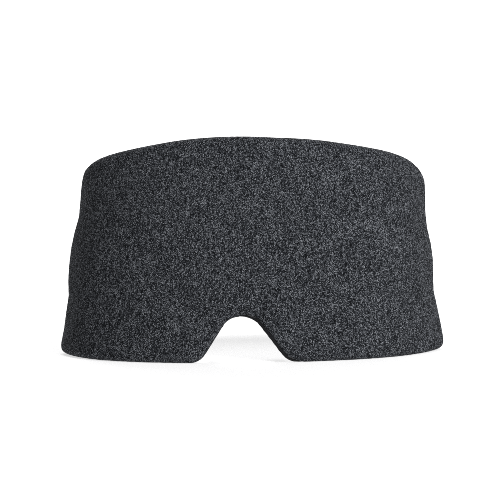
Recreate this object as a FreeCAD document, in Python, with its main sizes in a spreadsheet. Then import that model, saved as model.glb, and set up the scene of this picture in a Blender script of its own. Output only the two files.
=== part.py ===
import FreeCAD, Part

import math
import os

import Sketcher

# A contoured sleep eye mask, as worn: a curved padded wall stands on its lower edge, and a wide
# elastic band runs round behind it to a hook and loop closure at the back of the head.
# X runs to the right of someone who looks at the front, Y from the front to the back of the head,
# and Z up. The origin is on the surface the mask stands on, at the middle of its width and depth.

# Driving dimensions in millimetres and degrees. The plan of the wall is measured on its outer
# surface at flare_level: an arc across the brow runs into a tighter arc round each temple.
SIZES = {
    "mask_height": 103.2,
    "front_line": -75.7,
    "front_radius": 125.0,
    "front_angle": 20.0,
    "side_radius": 60.0,
    "wing_angle": 87.0,
    "wing_depth": 58.0,
    "flare_angle": 7.0,
    "flare_level": 50.0,
    "arch_radius": 204.0,
    "top_corner_radius": 15.0,
    "top_corner_drop": 29.5,
    "top_corner_turn": 65.0,
    "bottom_corner_radius": 6.0,
    "notch_height": 21.0,
    "notch_crown_radius": 11.0,
    "notch_flank_angle": 55.4,
    "lobe_radius": 8.0,
    "pad_thickness": 9.0,
    "cover_thickness": 0.9,
    "film_thickness": 0.4,
    "lining_thickness": 0.9,
    "seam_width": 1.0,
    "eye_angle": 17.5,
    "eye_level": 49.0,
    "eye_half_width": 20.0,
    "eye_half_height": 13.5,
    "eye_hollow_depth": 5.0,
    "eye_cup_thickness": 0.8,
    "ring_width": 8.5,
    "ring_depth": 6.5,
    "wire_level": 25.5,
    "wire_width": 5.0,
    "wire_thickness": 0.9,
    "wire_half_length": 30.0,
    "wire_depth": 1.9,
    "wing_flap_length": 13.0,
    "wing_flap_reach": 13.0,
    "wing_flap_thickness": 1.6,
    "wing_flap_corner": 5.0,
    "strap_width": 36.0,
    "strap_level": 50.0,
    "elastic_thickness": 1.6,
    "strap_half_span": 76.5,
    "strap_straight_run": 18.6,
    "loop_pile_thickness": 1.2,
    "loop_pile_width": 32.0,
    "hook_thickness": 1.2,
    "hook_width": 28.0,
    "tab_thickness": 1.4,
    "tab_width": 34.0,
    "left_band_end": 113.0,
    "right_band_end": 116.0,
    "loop_pile_start": 46.0,
    "tab_end": 68.0,
    "hook_margin": 3.0,
    "pull_length": 12.0,
    "pull_thickness": 3.0,
    "pull_width": 22.0,
    "sleeve_length": 15.0,
    "sleeve_thickness": 0.9,
    "sleeve_hem": 1.0,
    "stitch_length": 2.4,
    "stitch_gap": 1.2,
    "stitch_width": 0.6,
    "stitch_rise": 0.35,
    "label_length": 16.0,
    "label_height": 11.0,
    "label_thickness": 0.4,
    "label_level": 9.0,
    "hinge_gap": 0.5,
    "closure_gap": 0.3,
}

doc = FreeCAD.newDocument("sleep_mask")
sheet = doc.addObject("Spreadsheet::Sheet", "Sizes")


class Dim:
    """A size as its number and as the expression on the sheet's cells that gives it."""

    def __init__(self, value, text):
        self.value, self.text = value, text

    def __add__(self, other):
        other = dim(other)
        return Dim(self.value + other.value, f"({self.text} + {other.text})")

    def __sub__(self, other):
        other = dim(other)
        return Dim(self.value - other.value, f"({self.text} - {other.text})")

    def __mul__(self, other):
        other = dim(other)
        return Dim(self.value * other.value, f"{self.text} * {other.text}")

    def __truediv__(self, other):
        other = dim(other)
        return Dim(self.value / other.value, f"{self.text} / ({other.text})")

    def __rsub__(self, other):
        return dim(other) - self

    def __neg__(self):
        return dim(0) - self

    __radd__, __rmul__ = __add__, __mul__


def dim(size):
    return size if isinstance(size, Dim) else Dim(float(size), f"{float(size):.6f}")


def sin(angle):
    angle = dim(angle)
    return Dim(math.sin(math.radians(angle.value)), f"sin({angle.text})")


def cos(angle):
    angle = dim(angle)
    return Dim(math.cos(math.radians(angle.value)), f"cos({angle.text})")


for row, (alias, number) in enumerate(SIZES.items(), start=1):
    sheet.set(f"A{row}", alias)
    sheet.set(f"B{row}", str(number))
    sheet.setAlias(f"B{row}", alias)
doc.recompute()
size = {alias: Dim(number, f"Sizes.{alias}") for alias, number in SIZES.items()}
ZERO = dim(0)

# ---------------------------------------------------------------------------------------------
# Sketching and joining


def bind(thing, name, length):
    """Gives a property its size from the sheet."""
    thing.setExpression(name, dim(length).text)


def origin_plane(body, role):
    return next(plane for plane in body.Origin.OriginFeatures if plane.Role == role)


def new_body(name):
    return doc.addObject("PartDesign::Body", name)


def new_sketch(body, name, role, lift=ZERO):
    """A sketch on one of the body's origin planes, lifted off it along its normal."""
    sketch = body.newObject("Sketcher::SketchObject", name)
    sketch.AttachmentSupport = (origin_plane(body, role), "")
    sketch.MapMode = "FlatFace"
    if lift.value:
        bind(sketch, "AttachmentOffset.Base.z", lift)
    return sketch


class Line:
    """A straight side from one corner to the next."""

    def __init__(self, start, end):
        self.start, self.end = start, end


class Arc:
    """A round side about a centre, which runs clockwise where the second angle is the smaller."""

    def __init__(self, centre, radius, first, last):
        self.centre, self.radius = centre, radius
        self.angles = (dim(first), dim(last))
        self.start, self.end = (
            (centre[0] + radius * cos(angle), centre[1] + radius * sin(angle))
            for angle in self.angles
        )


def pin(sketch, geometry, point, place, which):
    """Holds one coordinate of a point at its size from the sheet."""
    at = place["XY".index(which)]
    index = sketch.addConstraint(
        Sketcher.Constraint(f"Distance{which}", geometry, point, at.value)
    )
    sketch.setExpression(f"Constraints[{index}]", at.text)


def draw(sketch, sides):
    """Draws sides end to end as a closed, fully constrained outline."""
    ends = []
    for side in sides:
        if isinstance(side, Line):
            corners = [FreeCAD.Vector(x.value, y.value) for x, y in (side.start, side.end)]
            sketch.addGeometry(Part.LineSegment(*corners))
            ends.append((1, 2))
            continue
        first, last = (math.radians(angle.value) for angle in side.angles)
        circle = Part.Circle(
            FreeCAD.Vector(side.centre[0].value, side.centre[1].value),
            FreeCAD.Vector(0, 0, 1),
            side.radius.value,
        )
        sketch.addGeometry(Part.ArcOfCircle(circle, min(first, last), max(first, last)))
        ends.append((1, 2) if first < last else (2, 1))
    for n, side in enumerate(sides):
        after = (n + 1) % len(sides)
        sketch.addConstraint(
            Sketcher.Constraint("Coincident", n, ends[n][1], after, ends[after][0])
        )
        if isinstance(side, Arc):
            index = sketch.addConstraint(Sketcher.Constraint("Radius", n, side.radius.value))
            sketch.setExpression(f"Constraints[{index}]", side.radius.text)
            for which in "XY":
                pin(sketch, n, 3, side.centre, which)
            for point, place, angle in zip(ends[n], (side.start, side.end), side.angles):
                steep = abs(math.sin(math.radians(angle.value))) > math.sqrt(0.5)
                pin(sketch, n, point, place, "X" if steep else "Y")
        elif isinstance(sides[after], Line):
            for which in "XY":
                pin(sketch, n, ends[n][1], side.end, which)


def polygon(corners):
    return [Line(a, b) for a, b in zip(corners, corners[1:] + corners[:1])]


def pad(body, sketch, length, symmetric=False):
    feature = body.newObject("PartDesign::Pad", sketch.Name + "_pad")
    feature.Profile = sketch
    feature.SideType = "Symmetric" if symmetric else "One side"
    bind(feature, "Length", length)
    return feature


def trim(body, sketch):
    """Cuts the outline away on both sides of its plane, right through the wall."""
    feature = body.newObject("PartDesign::Pocket", sketch.Name + "_cut")
    feature.Profile = sketch
    feature.SideType = "Symmetric"
    bind(feature, "Length", 8 * size["strap_half_span"])
    return feature


def boolean(kind, label, base, tool):
    joined = doc.addObject(kind, label)
    joined.Base, joined.Tool = base, tool
    joined.Label = label
    return joined


def box(name, low, high):
    """A block between two corners."""
    block = doc.addObject("Part::Box", name)
    for axis, side, a, b in zip("xyz", ("Length", "Width", "Height"), low, high):
        bind(block, side, b - a)
        bind(block, f"Placement.Base.{axis}", a)
    return block


# ---------------------------------------------------------------------------------------------
# The curved wall. Every layer is a slice of it between two depths behind the outer surface.

flare_rise = sin(size["flare_angle"]) / cos(size["flare_angle"])
front_centre = (ZERO, size["front_line"] + size["front_radius"])
side_reach = size["front_radius"] - size["side_radius"]
side_centre = (
    side_reach * sin(size["front_angle"]),
    front_centre[1] - side_reach * cos(size["front_angle"]),
)
rear_line = size["front_line"] + size["wing_depth"]
wing_turn_end = (
    side_centre[0] + size["side_radius"] * sin(size["wing_angle"]),
    side_centre[1] - size["side_radius"] * cos(size["wing_angle"]),
)
past_wing = (ZERO, rear_line + size["wing_depth"] / 2)


def wall_path(body, name):
    """Half of the wall's plan: the brow arc from the middle, the temple arc, then a straight run
    that always reaches past the wing's rear line, where the wing is cut off."""
    path = new_sketch(body, name, "XY_Plane")
    start, turn, stop = (math.radians(-90 + a) for a in (0.0, SIZES["front_angle"], SIZES["wing_angle"]))
    up = FreeCAD.Vector(0, 0, 1)
    for centre, radius, first, last in (
        (front_centre, size["front_radius"], start, turn),
        (side_centre, size["side_radius"], turn, stop),
    ):
        at = FreeCAD.Vector(centre[0].value, centre[1].value)
        path.addGeometry(Part.ArcOfCircle(Part.Circle(at, up, radius.value), first, last))
    run = past_wing[1] - wing_turn_end[1]
    far_end = (wing_turn_end[0] + run * cos(size["wing_angle"]) / sin(size["wing_angle"]), past_wing[1])
    corners = [FreeCAD.Vector(x.value, y.value) for x, y in (wing_turn_end, far_end)]
    path.addGeometry(Part.LineSegment(*corners))
    path.addConstraint(Sketcher.Constraint("PointOnObject", 0, 3, -2))
    path.addConstraint(Sketcher.Constraint("PointOnObject", 0, 1, -2))
    pin(path, 0, 3, front_centre, "Y")
    for n, radius in ((0, size["front_radius"]), (1, size["side_radius"])):
        index = path.addConstraint(Sketcher.Constraint("Radius", n, radius.value))
        path.setExpression(f"Constraints[{index}]", radius.text)
    pin(path, 0, 2, (size["front_radius"] * sin(size["front_angle"]), ZERO), "X")
    path.addConstraint(Sketcher.Constraint("Tangent", 0, 2, 1, 1))
    pin(path, 1, 2, wing_turn_end, "Y")
    path.addConstraint(Sketcher.Constraint("Tangent", 1, 2, 2, 1))
    pin(path, 2, 2, past_wing, "Y")
    return path


def wall(label, near, far, inset=ZERO, low=None, high=None):
    """A slice of the wall between two depths, drawn in from its edges by an inset."""
    low = inset if low is None else low
    high = size["mask_height"] - inset if high is None else high
    body = new_body(label)
    body.Label = label
    path = wall_path(body, label + "_path")
    section = new_sketch(body, label + "_section", "YZ_Plane")
    lean = [size["front_line"] - (size["flare_level"] - z) * flare_rise for z in (low, high)]
    draw(
        section,
        polygon(
            [
                (lean[0] + near, low),
                (lean[0] + far, low),
                (lean[1] + far, high),
                (lean[1] + near, high),
            ]
        ),
    )
    pipe = body.newObject("PartDesign::AdditivePipe", label + "_pipe")
    pipe.Profile = section
    pipe.Spine = (path, ["Edge1", "Edge2", "Edge3"])
    doc.recompute()
    mirror = body.newObject("PartDesign::Mirrored", label + "_mirror")
    mirror.Originals = [pipe]
    mirror.MirrorPlane = (origin_plane(body, "YZ_Plane"), [""])
    body.Tip = mirror
    trim(body, arch_outline(body, label, inset))
    trim(body, notch_outline(body, label, inset))
    trim(body, wing_outline(body, label, inset))
    return body


def arch_outline(body, label, inset):
    """Everything above the arched top edge, seen from the front."""
    outline = new_sketch(body, label + "_arch", "XZ_Plane")
    centre = (ZERO, size["mask_height"] - size["arch_radius"])
    arch = Arc(centre, size["arch_radius"] - inset, 90 + 35, 90 - 35)
    above = 2 * size["mask_height"]
    corners = [arch.end, (arch.end[0], above), (arch.start[0], above), arch.start]
    draw(outline, [arch] + [Line(a, b) for a, b in zip(corners, corners[1:])])
    return outline


notch_centre = (ZERO, size["notch_height"] - size["notch_crown_radius"])
lobe_centre_x = (
    size["notch_crown_radius"]
    + size["lobe_radius"]
    + (notch_centre[1] - size["lobe_radius"]) * cos(size["notch_flank_angle"])
) / sin(size["notch_flank_angle"])


def notch_outline(body, label, inset):
    """The nose notch, seen from the front: a round crown, straight flanks and rounded lobes."""
    outline = new_sketch(body, label + "_notch", "XZ_Plane")
    crown_radius = size["notch_crown_radius"] + inset
    lobe_radius = size["lobe_radius"] - inset
    flank = size["notch_flank_angle"]
    crown = Arc(notch_centre, crown_radius, 90 + flank, 90 - flank)
    right = Arc((lobe_centre_x, size["lobe_radius"]), lobe_radius, 270 - flank, 270)
    left = Arc((-lobe_centre_x, size["lobe_radius"]), lobe_radius, 270, 270 + flank)
    below = -size["lobe_radius"]
    draw(
        outline,
        [
            crown,
            Line(crown.end, right.start),
            right,
            Line(right.end, (lobe_centre_x, below)),
            Line((lobe_centre_x, below), (-lobe_centre_x, below)),
            Line((-lobe_centre_x, below), left.start),
            left,
            Line(left.end, crown.start),
        ],
    )
    return outline


def wing_outline(body, label, inset):
    """Everything behind the wings' rear edges, seen from the side, with both corners rounded."""
    outline = new_sketch(body, label + "_wing", "YZ_Plane")
    top_radius = size["top_corner_radius"] - inset
    bottom_radius = size["bottom_corner_radius"] - inset
    top_centre = (
        rear_line - size["top_corner_radius"],
        size["mask_height"] - size["top_corner_drop"],
    )
    bottom_centre = (rear_line - size["bottom_corner_radius"], size["bottom_corner_radius"])
    turn = size["top_corner_turn"]
    top = Arc(top_centre, top_radius, 0, turn)
    bottom = Arc(bottom_centre, bottom_radius, -90, 0)
    run = size["wing_depth"]
    ridge = (top.end[0] - run * sin(turn), top.end[1] + run * cos(turn))
    above, behind, below = 2 * size["mask_height"], rear_line + run, -size["lobe_radius"]
    corners = [
        top.end,
        ridge,
        (ridge[0], above),
        (behind, above),
        (behind, below),
        (bottom.start[0], below),
        bottom.start,
    ]
    sides = [Line(a, b) for a, b in zip(corners, corners[1:])]
    draw(outline, [bottom, Line(bottom.end, top.start), top] + sides)
    return outline


# ---------------------------------------------------------------------------------------------
# The layers: cover, seam bead and lining make the skin, and the core block is all it holds.

seam_near = (size["pad_thickness"] - size["seam_width"]) / 2
seam_far = seam_near + size["seam_width"]
core_near = size["cover_thickness"]
core_far = size["pad_thickness"] - size["lining_thickness"]
core_inset = size["cover_thickness"]
foam_near = core_near + size["film_thickness"]


def core_block(name):
    """The space inside the skin, for cutting."""
    return wall(name, core_near, core_far, core_inset)


def skin_layer(label, near, far):
    return boolean("Part::Cut", label, wall(label + "_solid", near, far), core_block(label + "_core"))


def make_cover():
    return skin_layer("front_cover", ZERO, seam_near)


def make_seam():
    return skin_layer("edge_seam", seam_near, seam_far)


def make_film():
    return wall("blackout_film", core_near, foam_near, core_inset)


# ---------------------------------------------------------------------------------------------
# The eyes: an oval hollow in the face side, lined with a moulded cup, in a cushion ring.

eye_radius = size["front_radius"] - size["pad_thickness"]
SIDES = {"left": -1, "right": 1}


def eye_prism(name, side, margin):
    """An oval bar that points straight out of the wall through one eye."""
    oval = doc.addObject("Part::Ellipse", name + "_oval")
    bind(oval, "MajorRadius", size["eye_half_width"] + margin)
    bind(oval, "MinorRadius", size["eye_half_height"] + margin)
    turn = SIDES[side] * size["eye_angle"]
    facing = FreeCAD.Rotation(FreeCAD.Vector(1, 0, 0), 90)
    swing = FreeCAD.Rotation(FreeCAD.Vector(0, 0, 1), turn.value)
    oval.Placement = FreeCAD.Placement(FreeCAD.Vector(), swing * facing)
    bind(oval, "Placement.Base.x", eye_radius * sin(turn))
    bind(oval, "Placement.Base.y", front_centre[1] - eye_radius * cos(turn))
    bind(oval, "Placement.Base.z", size["eye_level"])
    bar = doc.addObject("Part::Extrusion", name)
    bar.Base = oval
    bar.DirMode = "Normal"
    bar.Solid = True
    bar.Symmetric = True
    bind(bar, "LengthFwd", 6 * size["pad_thickness"])
    return bar


hollow_floor = size["pad_thickness"] - size["eye_hollow_depth"]


def eye_hollow(name, side):
    """The room of one eye hollow, from its floor to past the face side."""
    layer = wall(name + "_layer", hollow_floor, size["pad_thickness"] + size["ring_depth"], core_inset)
    return boolean("Part::Common", name, layer, eye_prism(name + "_bar", side, ZERO))


def make_lining():
    solid = skin_layer("inner_lining_skin", seam_far, size["pad_thickness"])
    right = boolean("Part::Cut", "inner_lining_right", solid, eye_hollow("lining_hole_right", "right"))
    return boolean("Part::Cut", "inner_lining", right, eye_hollow("lining_hole_left", "left"))


def make_foam():
    foam = wall("foam_solid", foam_near, core_far, core_inset)
    for side in SIDES:
        foam = boolean("Part::Cut", f"foam_{side}_hollow", foam, eye_hollow(f"foam_hole_{side}", side))
    return boolean("Part::Cut", "foam_core", foam, make_wire("wire_room"))


def make_wire(label):
    """The bendable strip over the notch, in its own channel in the foam."""
    low = size["wire_level"] - size["wire_width"] / 2
    strip = wall(
        label + "_strip",
        size["wire_depth"],
        size["wire_depth"] + size["wire_thickness"],
        core_inset,
        low,
        low + size["wire_width"],
    )
    half = size["wire_half_length"]
    block = box(
        label + "_length",
        (-half, size["front_line"] - size["pad_thickness"], ZERO),
        (half, front_centre[1], size["mask_height"]),
    )
    return boolean("Part::Common", label, strip, block)


def make_eye_cup(side):
    """A thin moulded cup that lines one hollow and ends flush with the lining."""
    label = f"{side}_eye_cup"
    shell = boolean(
        "Part::Common",
        label + "_outside",
        wall(label + "_layer", hollow_floor, size["pad_thickness"], core_inset),
        eye_prism(label + "_bar", side, ZERO),
    )
    room = boolean(
        "Part::Common",
        label + "_inside",
        wall(
            label + "_room_layer",
            hollow_floor + size["eye_cup_thickness"],
            size["pad_thickness"] + size["ring_depth"],
            core_inset,
        ),
        eye_prism(label + "_room", side, -size["eye_cup_thickness"]),
    )
    return boolean("Part::Cut", label, shell, room)


def make_eye_ring(side):
    """The cushion that stands on the lining round one eye."""
    label = f"{side}_eye_ring"
    ring = boolean(
        "Part::Cut",
        label + "_bar",
        eye_prism(label + "_outer", side, size["ring_width"]),
        eye_prism(label + "_inner", side, ZERO),
    )
    layer = wall(
        label + "_layer",
        size["pad_thickness"],
        size["pad_thickness"] + size["ring_depth"],
        core_inset,
    )
    return boolean("Part::Common", label, layer, ring)


def make_label():
    """A blank care label, sewn flat on the lining low down by the left wing."""
    layer = wall(
        "care_label_layer",
        size["pad_thickness"],
        size["pad_thickness"] + size["label_thickness"],
        core_inset,
        size["label_level"],
        size["label_level"] + size["label_height"],
    )
    rear = rear_line - 2 * size["bottom_corner_radius"]
    block = box(
        "care_label_length",
        (-2 * size["strap_half_span"], rear - size["label_length"], ZERO),
        (ZERO, rear, size["mask_height"]),
    )
    return boolean("Part::Common", "care_label", layer, block)


# ---------------------------------------------------------------------------------------------
# The nose flaps: soft wings behind the notch's flanks that close the gap beside the nose.


def make_nose_flap(side):
    """A thin plate that stands back off the lining along one flank, its free corners rounded."""
    label = f"{side}_nose_flap"
    sign = SIDES[side]
    body = new_body(label)
    body.Label = label
    outline = new_sketch(body, label + "_outline", "XY_Plane")
    length, reach, corner = (
        size[key] for key in ("wing_flap_length", "wing_flap_reach", "wing_flap_corner")
    )
    half = length / 2
    far_right = Arc((half - corner, reach - corner), corner, 0, 90)
    far_left = Arc((corner - half, reach - corner), corner, 90, 180)
    draw(
        outline,
        [
            Line((half, ZERO), far_right.start),
            far_right,
            Line(far_right.end, far_left.start),
            far_left,
            Line(far_left.end, (-half, ZERO)),
            Line((-half, ZERO), (half, ZERO)),
        ],
    )
    pad(body, outline, size["wing_flap_thickness"], symmetric=True)
    # The flap's middle is half a length down the flank from the crown, half a thickness inside.
    flank = size["notch_flank_angle"]
    off = size["notch_crown_radius"] + size["wing_flap_thickness"] / 2
    top = notch_centre[1] + off * cos(flank)
    x = off * sin(flank) + half * cos(flank)
    z = top - half * sin(flank)
    # It starts a hinge gap behind the lining, and leaves room for its root's corners to turn.
    lining = size["front_line"] - (size["flare_level"] - top) * flare_rise + size["pad_thickness"]
    bow = x * x / (2 * eye_radius)
    y = lining + bow + size["wing_flap_thickness"] / 4 + size["hinge_gap"]
    body.Placement.Rotation = FreeCAD.Rotation(FreeCAD.Vector(0, 1, 0), sign * flank.value)
    for axis, place in zip("xyz", (sign * x, y, z)):
        bind(body, f"Placement.Base.{axis}", place)
    return body


# ---------------------------------------------------------------------------------------------
# The strap: a fabric sleeve, an elastic band and the closure. The two bands lie on circles about
# one centre, the left outside the right, with the pile and the hooks between them at the back.

strap_low = size["strap_level"] - size["strap_width"] / 2
strap_high = strap_low + size["strap_width"]
half_band = size["elastic_thickness"] / 2
layer_step = (
    size["elastic_thickness"]
    + size["loop_pile_thickness"]
    + size["closure_gap"]
    + size["hook_thickness"]
)
band_radius = {
    "right": size["strap_half_span"] - layer_step / 2,
    "left": size["strap_half_span"] + layer_step / 2,
}
sleeve_reach = half_band + size["sleeve_thickness"]
sleeve_start = rear_line + size["hinge_gap"]
hinge_line = sleeve_start + sleeve_reach
band_start = hinge_line + size["sleeve_hem"]
loop_centre = (layer_step / 2, sleeve_start + size["strap_straight_run"])


def arc_angle(length, radius):
    """The angle that a length takes up on a circle."""
    return Dim(
        math.degrees(length.value / radius.value),
        f"{length.text} / ({radius.text}) * {180 / math.pi:.8f}",
    )


def curved_strip(label, inner, outer, first, last, width):
    """A strip on a circle about the loop's centre, between two angles, standing on its edge."""
    body = new_body(label)
    body.Label = label
    plan = new_sketch(body, label + "_plan", "XY_Plane", size["strap_level"] - width / 2)
    outside = Arc(loop_centre, outer, first, last)
    inside = Arc(loop_centre, inner, last, first)
    draw(
        plan,
        [outside, Line(outside.end, inside.start), inside, Line(inside.end, outside.start)],
    )
    pad(body, plan, width)
    return body


def make_band(side):
    """An elastic band: straight back from its sleeve, then round the back of the head."""
    label = f"{side}_elastic_band"
    body = new_body(label)
    body.Label = label
    plan = new_sketch(body, label + "_plan", "XY_Plane", strap_low)
    inner, outer = band_radius[side] - half_band, band_radius[side] + half_band
    root, tip = (180, size["left_band_end"]) if side == "left" else (0, size["right_band_end"])
    outside, inside = Arc(loop_centre, outer, root, tip), Arc(loop_centre, inner, tip, root)
    start = ((outside.start[0], band_start), (inside.end[0], band_start))
    draw(
        plan,
        [
            outside,
            Line(outside.end, inside.start),
            inside,
            Line(inside.end, start[1]),
            Line(start[1], start[0]),
            Line(start[0], outside.start),
        ],
    )
    pad(body, plan, size["strap_width"])
    return body


def make_sleeve(side):
    """The cover fabric folded round the band's end. It turns on its rounded root at the wing."""
    label = f"{side}_strap_sleeve"
    middle = SIDES[side] * size["strap_half_span"]
    end = sleeve_start + size["sleeve_length"]
    body = new_body(label + "_block")
    low = strap_low - size["sleeve_hem"]
    plan = new_sketch(body, label + "_plan", "XY_Plane", low)
    root = Arc((middle, hinge_line), sleeve_reach, 180, 360)
    corners = [root.end, (root.end[0], end), (root.start[0], end), root.start]
    draw(plan, [root] + [Line(a, b) for a, b in zip(corners, corners[1:])])
    pad(body, plan, size["strap_width"] + 2 * size["sleeve_hem"])
    slot = box(
        label + "_slot",
        (middle - half_band, band_start, strap_low),
        (middle + half_band, end + size["sleeve_hem"], strap_high),
    )
    return boolean("Part::Cut", label, body, slot)


def stitch_rows(label, rows, width):
    """Rows of stitches up a strip. Each row is a centre in plan, a radius and an outward angle."""
    pitch = size["stitch_length"] + size["stitch_gap"]
    count = int(width.value // pitch.value)
    first = size["strap_level"] - (count * pitch - size["stitch_gap"]) / 2
    half = size["stitch_width"] / 2
    stitches = []
    for centre, radius, angle in rows:
        x = centre[0] + radius * cos(angle) + half * sin(angle)
        y = centre[1] + radius * sin(angle) - half * cos(angle)
        for n in range(count):
            stitch = doc.addObject("Part::Box", f"{label}_{len(stitches)}")
            bind(stitch, "Length", size["stitch_rise"])
            bind(stitch, "Width", size["stitch_width"])
            bind(stitch, "Height", size["stitch_length"])
            stitch.Placement.Rotation = FreeCAD.Rotation(FreeCAD.Vector(0, 0, 1), dim(angle).value)
            for axis, place in zip("xyz", (x, y, first + n * pitch)):
                bind(stitch, f"Placement.Base.{axis}", place)
            stitches.append(stitch)
    group = doc.addObject("Part::Compound", label)
    group.Links = stitches
    group.Label = label
    return group


def make_sleeve_stitching(side):
    """Two rows of stitches on each face of the sleeve, which hold the band's end in it."""
    middle = SIDES[side] * size["strap_half_span"]
    near = band_start + 2 * size["stitch_width"]
    far = sleeve_start + size["sleeve_length"] - 2 * size["stitch_width"]
    rows = [((middle, y), sleeve_reach, angle) for angle in (0, 180) for y in (near, far)]
    return stitch_rows(f"{side}_strap_stitching", rows, size["strap_width"])


pile_inner = band_radius["right"] + half_band
tab_inner = pile_inner + size["loop_pile_thickness"] + size["closure_gap"] + size["hook_thickness"]
tab_root = size["left_band_end"]
hinge_turn = arc_angle(size["hinge_gap"], band_radius["left"])


def make_loop_pile():
    """The velour strip on the right band's outer face, which the hooks grip."""
    outer = pile_inner + size["loop_pile_thickness"]
    return curved_strip(
        "loop_pile_strip",
        pile_inner,
        outer,
        size["loop_pile_start"],
        size["right_band_end"],
        size["loop_pile_width"],
    )


def make_closure_tab():
    """The stiff fabric end of the left band, which carries the hooks and peels off the pile."""
    return curved_strip(
        "closure_tab",
        tab_inner,
        tab_inner + size["tab_thickness"],
        size["tab_end"],
        tab_root - hinge_turn,
        size["tab_width"],
    )


def make_hook_patch():
    margin = arc_angle(size["hook_margin"], tab_inner)
    return curved_strip(
        "hook_patch",
        tab_inner - size["hook_thickness"],
        tab_inner,
        size["tab_end"] + margin,
        tab_root - hinge_turn - margin,
        size["hook_width"],
    )


def make_tab_stitching():
    """Stitches across both ends of the closure tab, which hold the hook patch on its inside."""
    face = tab_inner + size["tab_thickness"]
    inset = arc_angle(2 * size["hook_margin"], face)
    ends = size["tab_end"] + inset, tab_root - hinge_turn - inset
    rows = [(loop_centre, face, angle) for angle in ends]
    return stitch_rows("closure_tab_stitching", rows, size["hook_width"])


def make_pull_tip():
    """A moulded grip at the tab's free end, for peeling the closure open."""
    inner = tab_inner - (size["pull_thickness"] - size["tab_thickness"]) / 2
    turn = arc_angle(size["pull_length"], tab_inner)
    return curved_strip(
        "pull_tip",
        inner,
        inner + size["pull_thickness"],
        size["tab_end"] - turn,
        size["tab_end"],
        size["pull_width"],
    )


# ---------------------------------------------------------------------------------------------

parts = [
    make_cover(),
    make_seam(),
    make_film(),
    make_foam(),
    make_wire("nose_wire"),
    make_lining(),
    make_label(),
    make_loop_pile(),
    make_closure_tab(),
    make_hook_patch(),
    make_tab_stitching(),
    make_pull_tip(),
]
for side in SIDES:
    parts += [
        make_eye_cup(side),
        make_eye_ring(side),
        make_nose_flap(side),
        make_sleeve(side),
        make_band(side),
        make_sleeve_stitching(side),
    ]
doc.recompute()

failed = [thing.Label for thing in doc.Objects if {"Invalid", "Error"} & set(thing.State)]
loose = [
    thing.Label
    for thing in doc.Objects
    if thing.isDerivedFrom("Sketcher::SketchObject") and thing.solve() != 0
]
broken = [thing.Label for thing in parts if thing.Shape.isNull() or not thing.Shape.isValid()]
if failed or loose or broken:
    raise RuntimeError(f"failed {failed}, unsolved {loose}, broken {broken}")

os.makedirs("parts", exist_ok=True)
for part in parts:
    part.Shape.exportStep(f"parts/{part.Label}.step")
    bounds = part.Shape.BoundBox
    print(
        f"{part.Label:22s} {len(part.Shape.Solids):3d} solids {part.Shape.Volume:10.1f} mm3  "
        f"x {bounds.XMin:7.2f} {bounds.XMax:7.2f}  y {bounds.YMin:7.2f} {bounds.YMax:7.2f}  "
        f"z {bounds.ZMin:7.2f} {bounds.ZMax:7.2f}"
    )
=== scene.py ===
import math

import bmesh
import bpy
import numpy as np
from mathutils import Matrix, Vector, noise


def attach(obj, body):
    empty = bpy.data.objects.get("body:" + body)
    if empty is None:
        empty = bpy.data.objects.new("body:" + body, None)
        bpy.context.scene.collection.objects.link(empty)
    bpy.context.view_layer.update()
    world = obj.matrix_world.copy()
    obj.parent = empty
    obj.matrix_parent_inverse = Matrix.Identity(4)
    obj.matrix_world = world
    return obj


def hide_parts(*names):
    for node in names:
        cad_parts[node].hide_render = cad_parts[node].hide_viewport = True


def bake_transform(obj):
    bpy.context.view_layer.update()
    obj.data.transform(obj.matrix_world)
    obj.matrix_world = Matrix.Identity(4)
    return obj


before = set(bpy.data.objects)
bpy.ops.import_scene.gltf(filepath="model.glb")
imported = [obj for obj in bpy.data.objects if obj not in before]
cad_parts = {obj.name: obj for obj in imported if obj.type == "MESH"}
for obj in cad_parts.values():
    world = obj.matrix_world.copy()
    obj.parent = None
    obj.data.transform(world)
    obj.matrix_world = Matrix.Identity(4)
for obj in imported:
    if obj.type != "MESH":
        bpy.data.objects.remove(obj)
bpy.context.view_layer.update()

# ---- The table and the studio -----------------------------------------------------------------
# The mask stands on a wide, plain, pale table top, mostly under a soft light at the right of its
# front. The camera looks at its front from a little above and a little to its right.

SIDES = {"left": -1, "right": 1}
AIM = Vector((0.0004, -0.045, 0.0489))
CAMERA_DISTANCE = 4.0
CAMERA_AZIMUTH, CAMERA_ELEVATION, CAMERA_ROLL = (math.radians(a) for a in (2.2, 5.0, 0.95))
VIEW_WIDTH = 0.230


def add_object(name, mesh):
    """Links a finished mesh as an object that sits at the origin."""
    thing = bpy.data.objects.new(name, mesh)
    bpy.context.scene.collection.objects.link(thing)
    return thing


def mesh_from(name, bm, smooth=True):
    """Turns a bmesh into an object, smooth-shaded unless it is told not to be."""
    for face in bm.faces:
        face.smooth = smooth
    mesh = bpy.data.meshes.new(name)
    bm.to_mesh(mesh)
    bm.free()
    return add_object(name, mesh)


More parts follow.
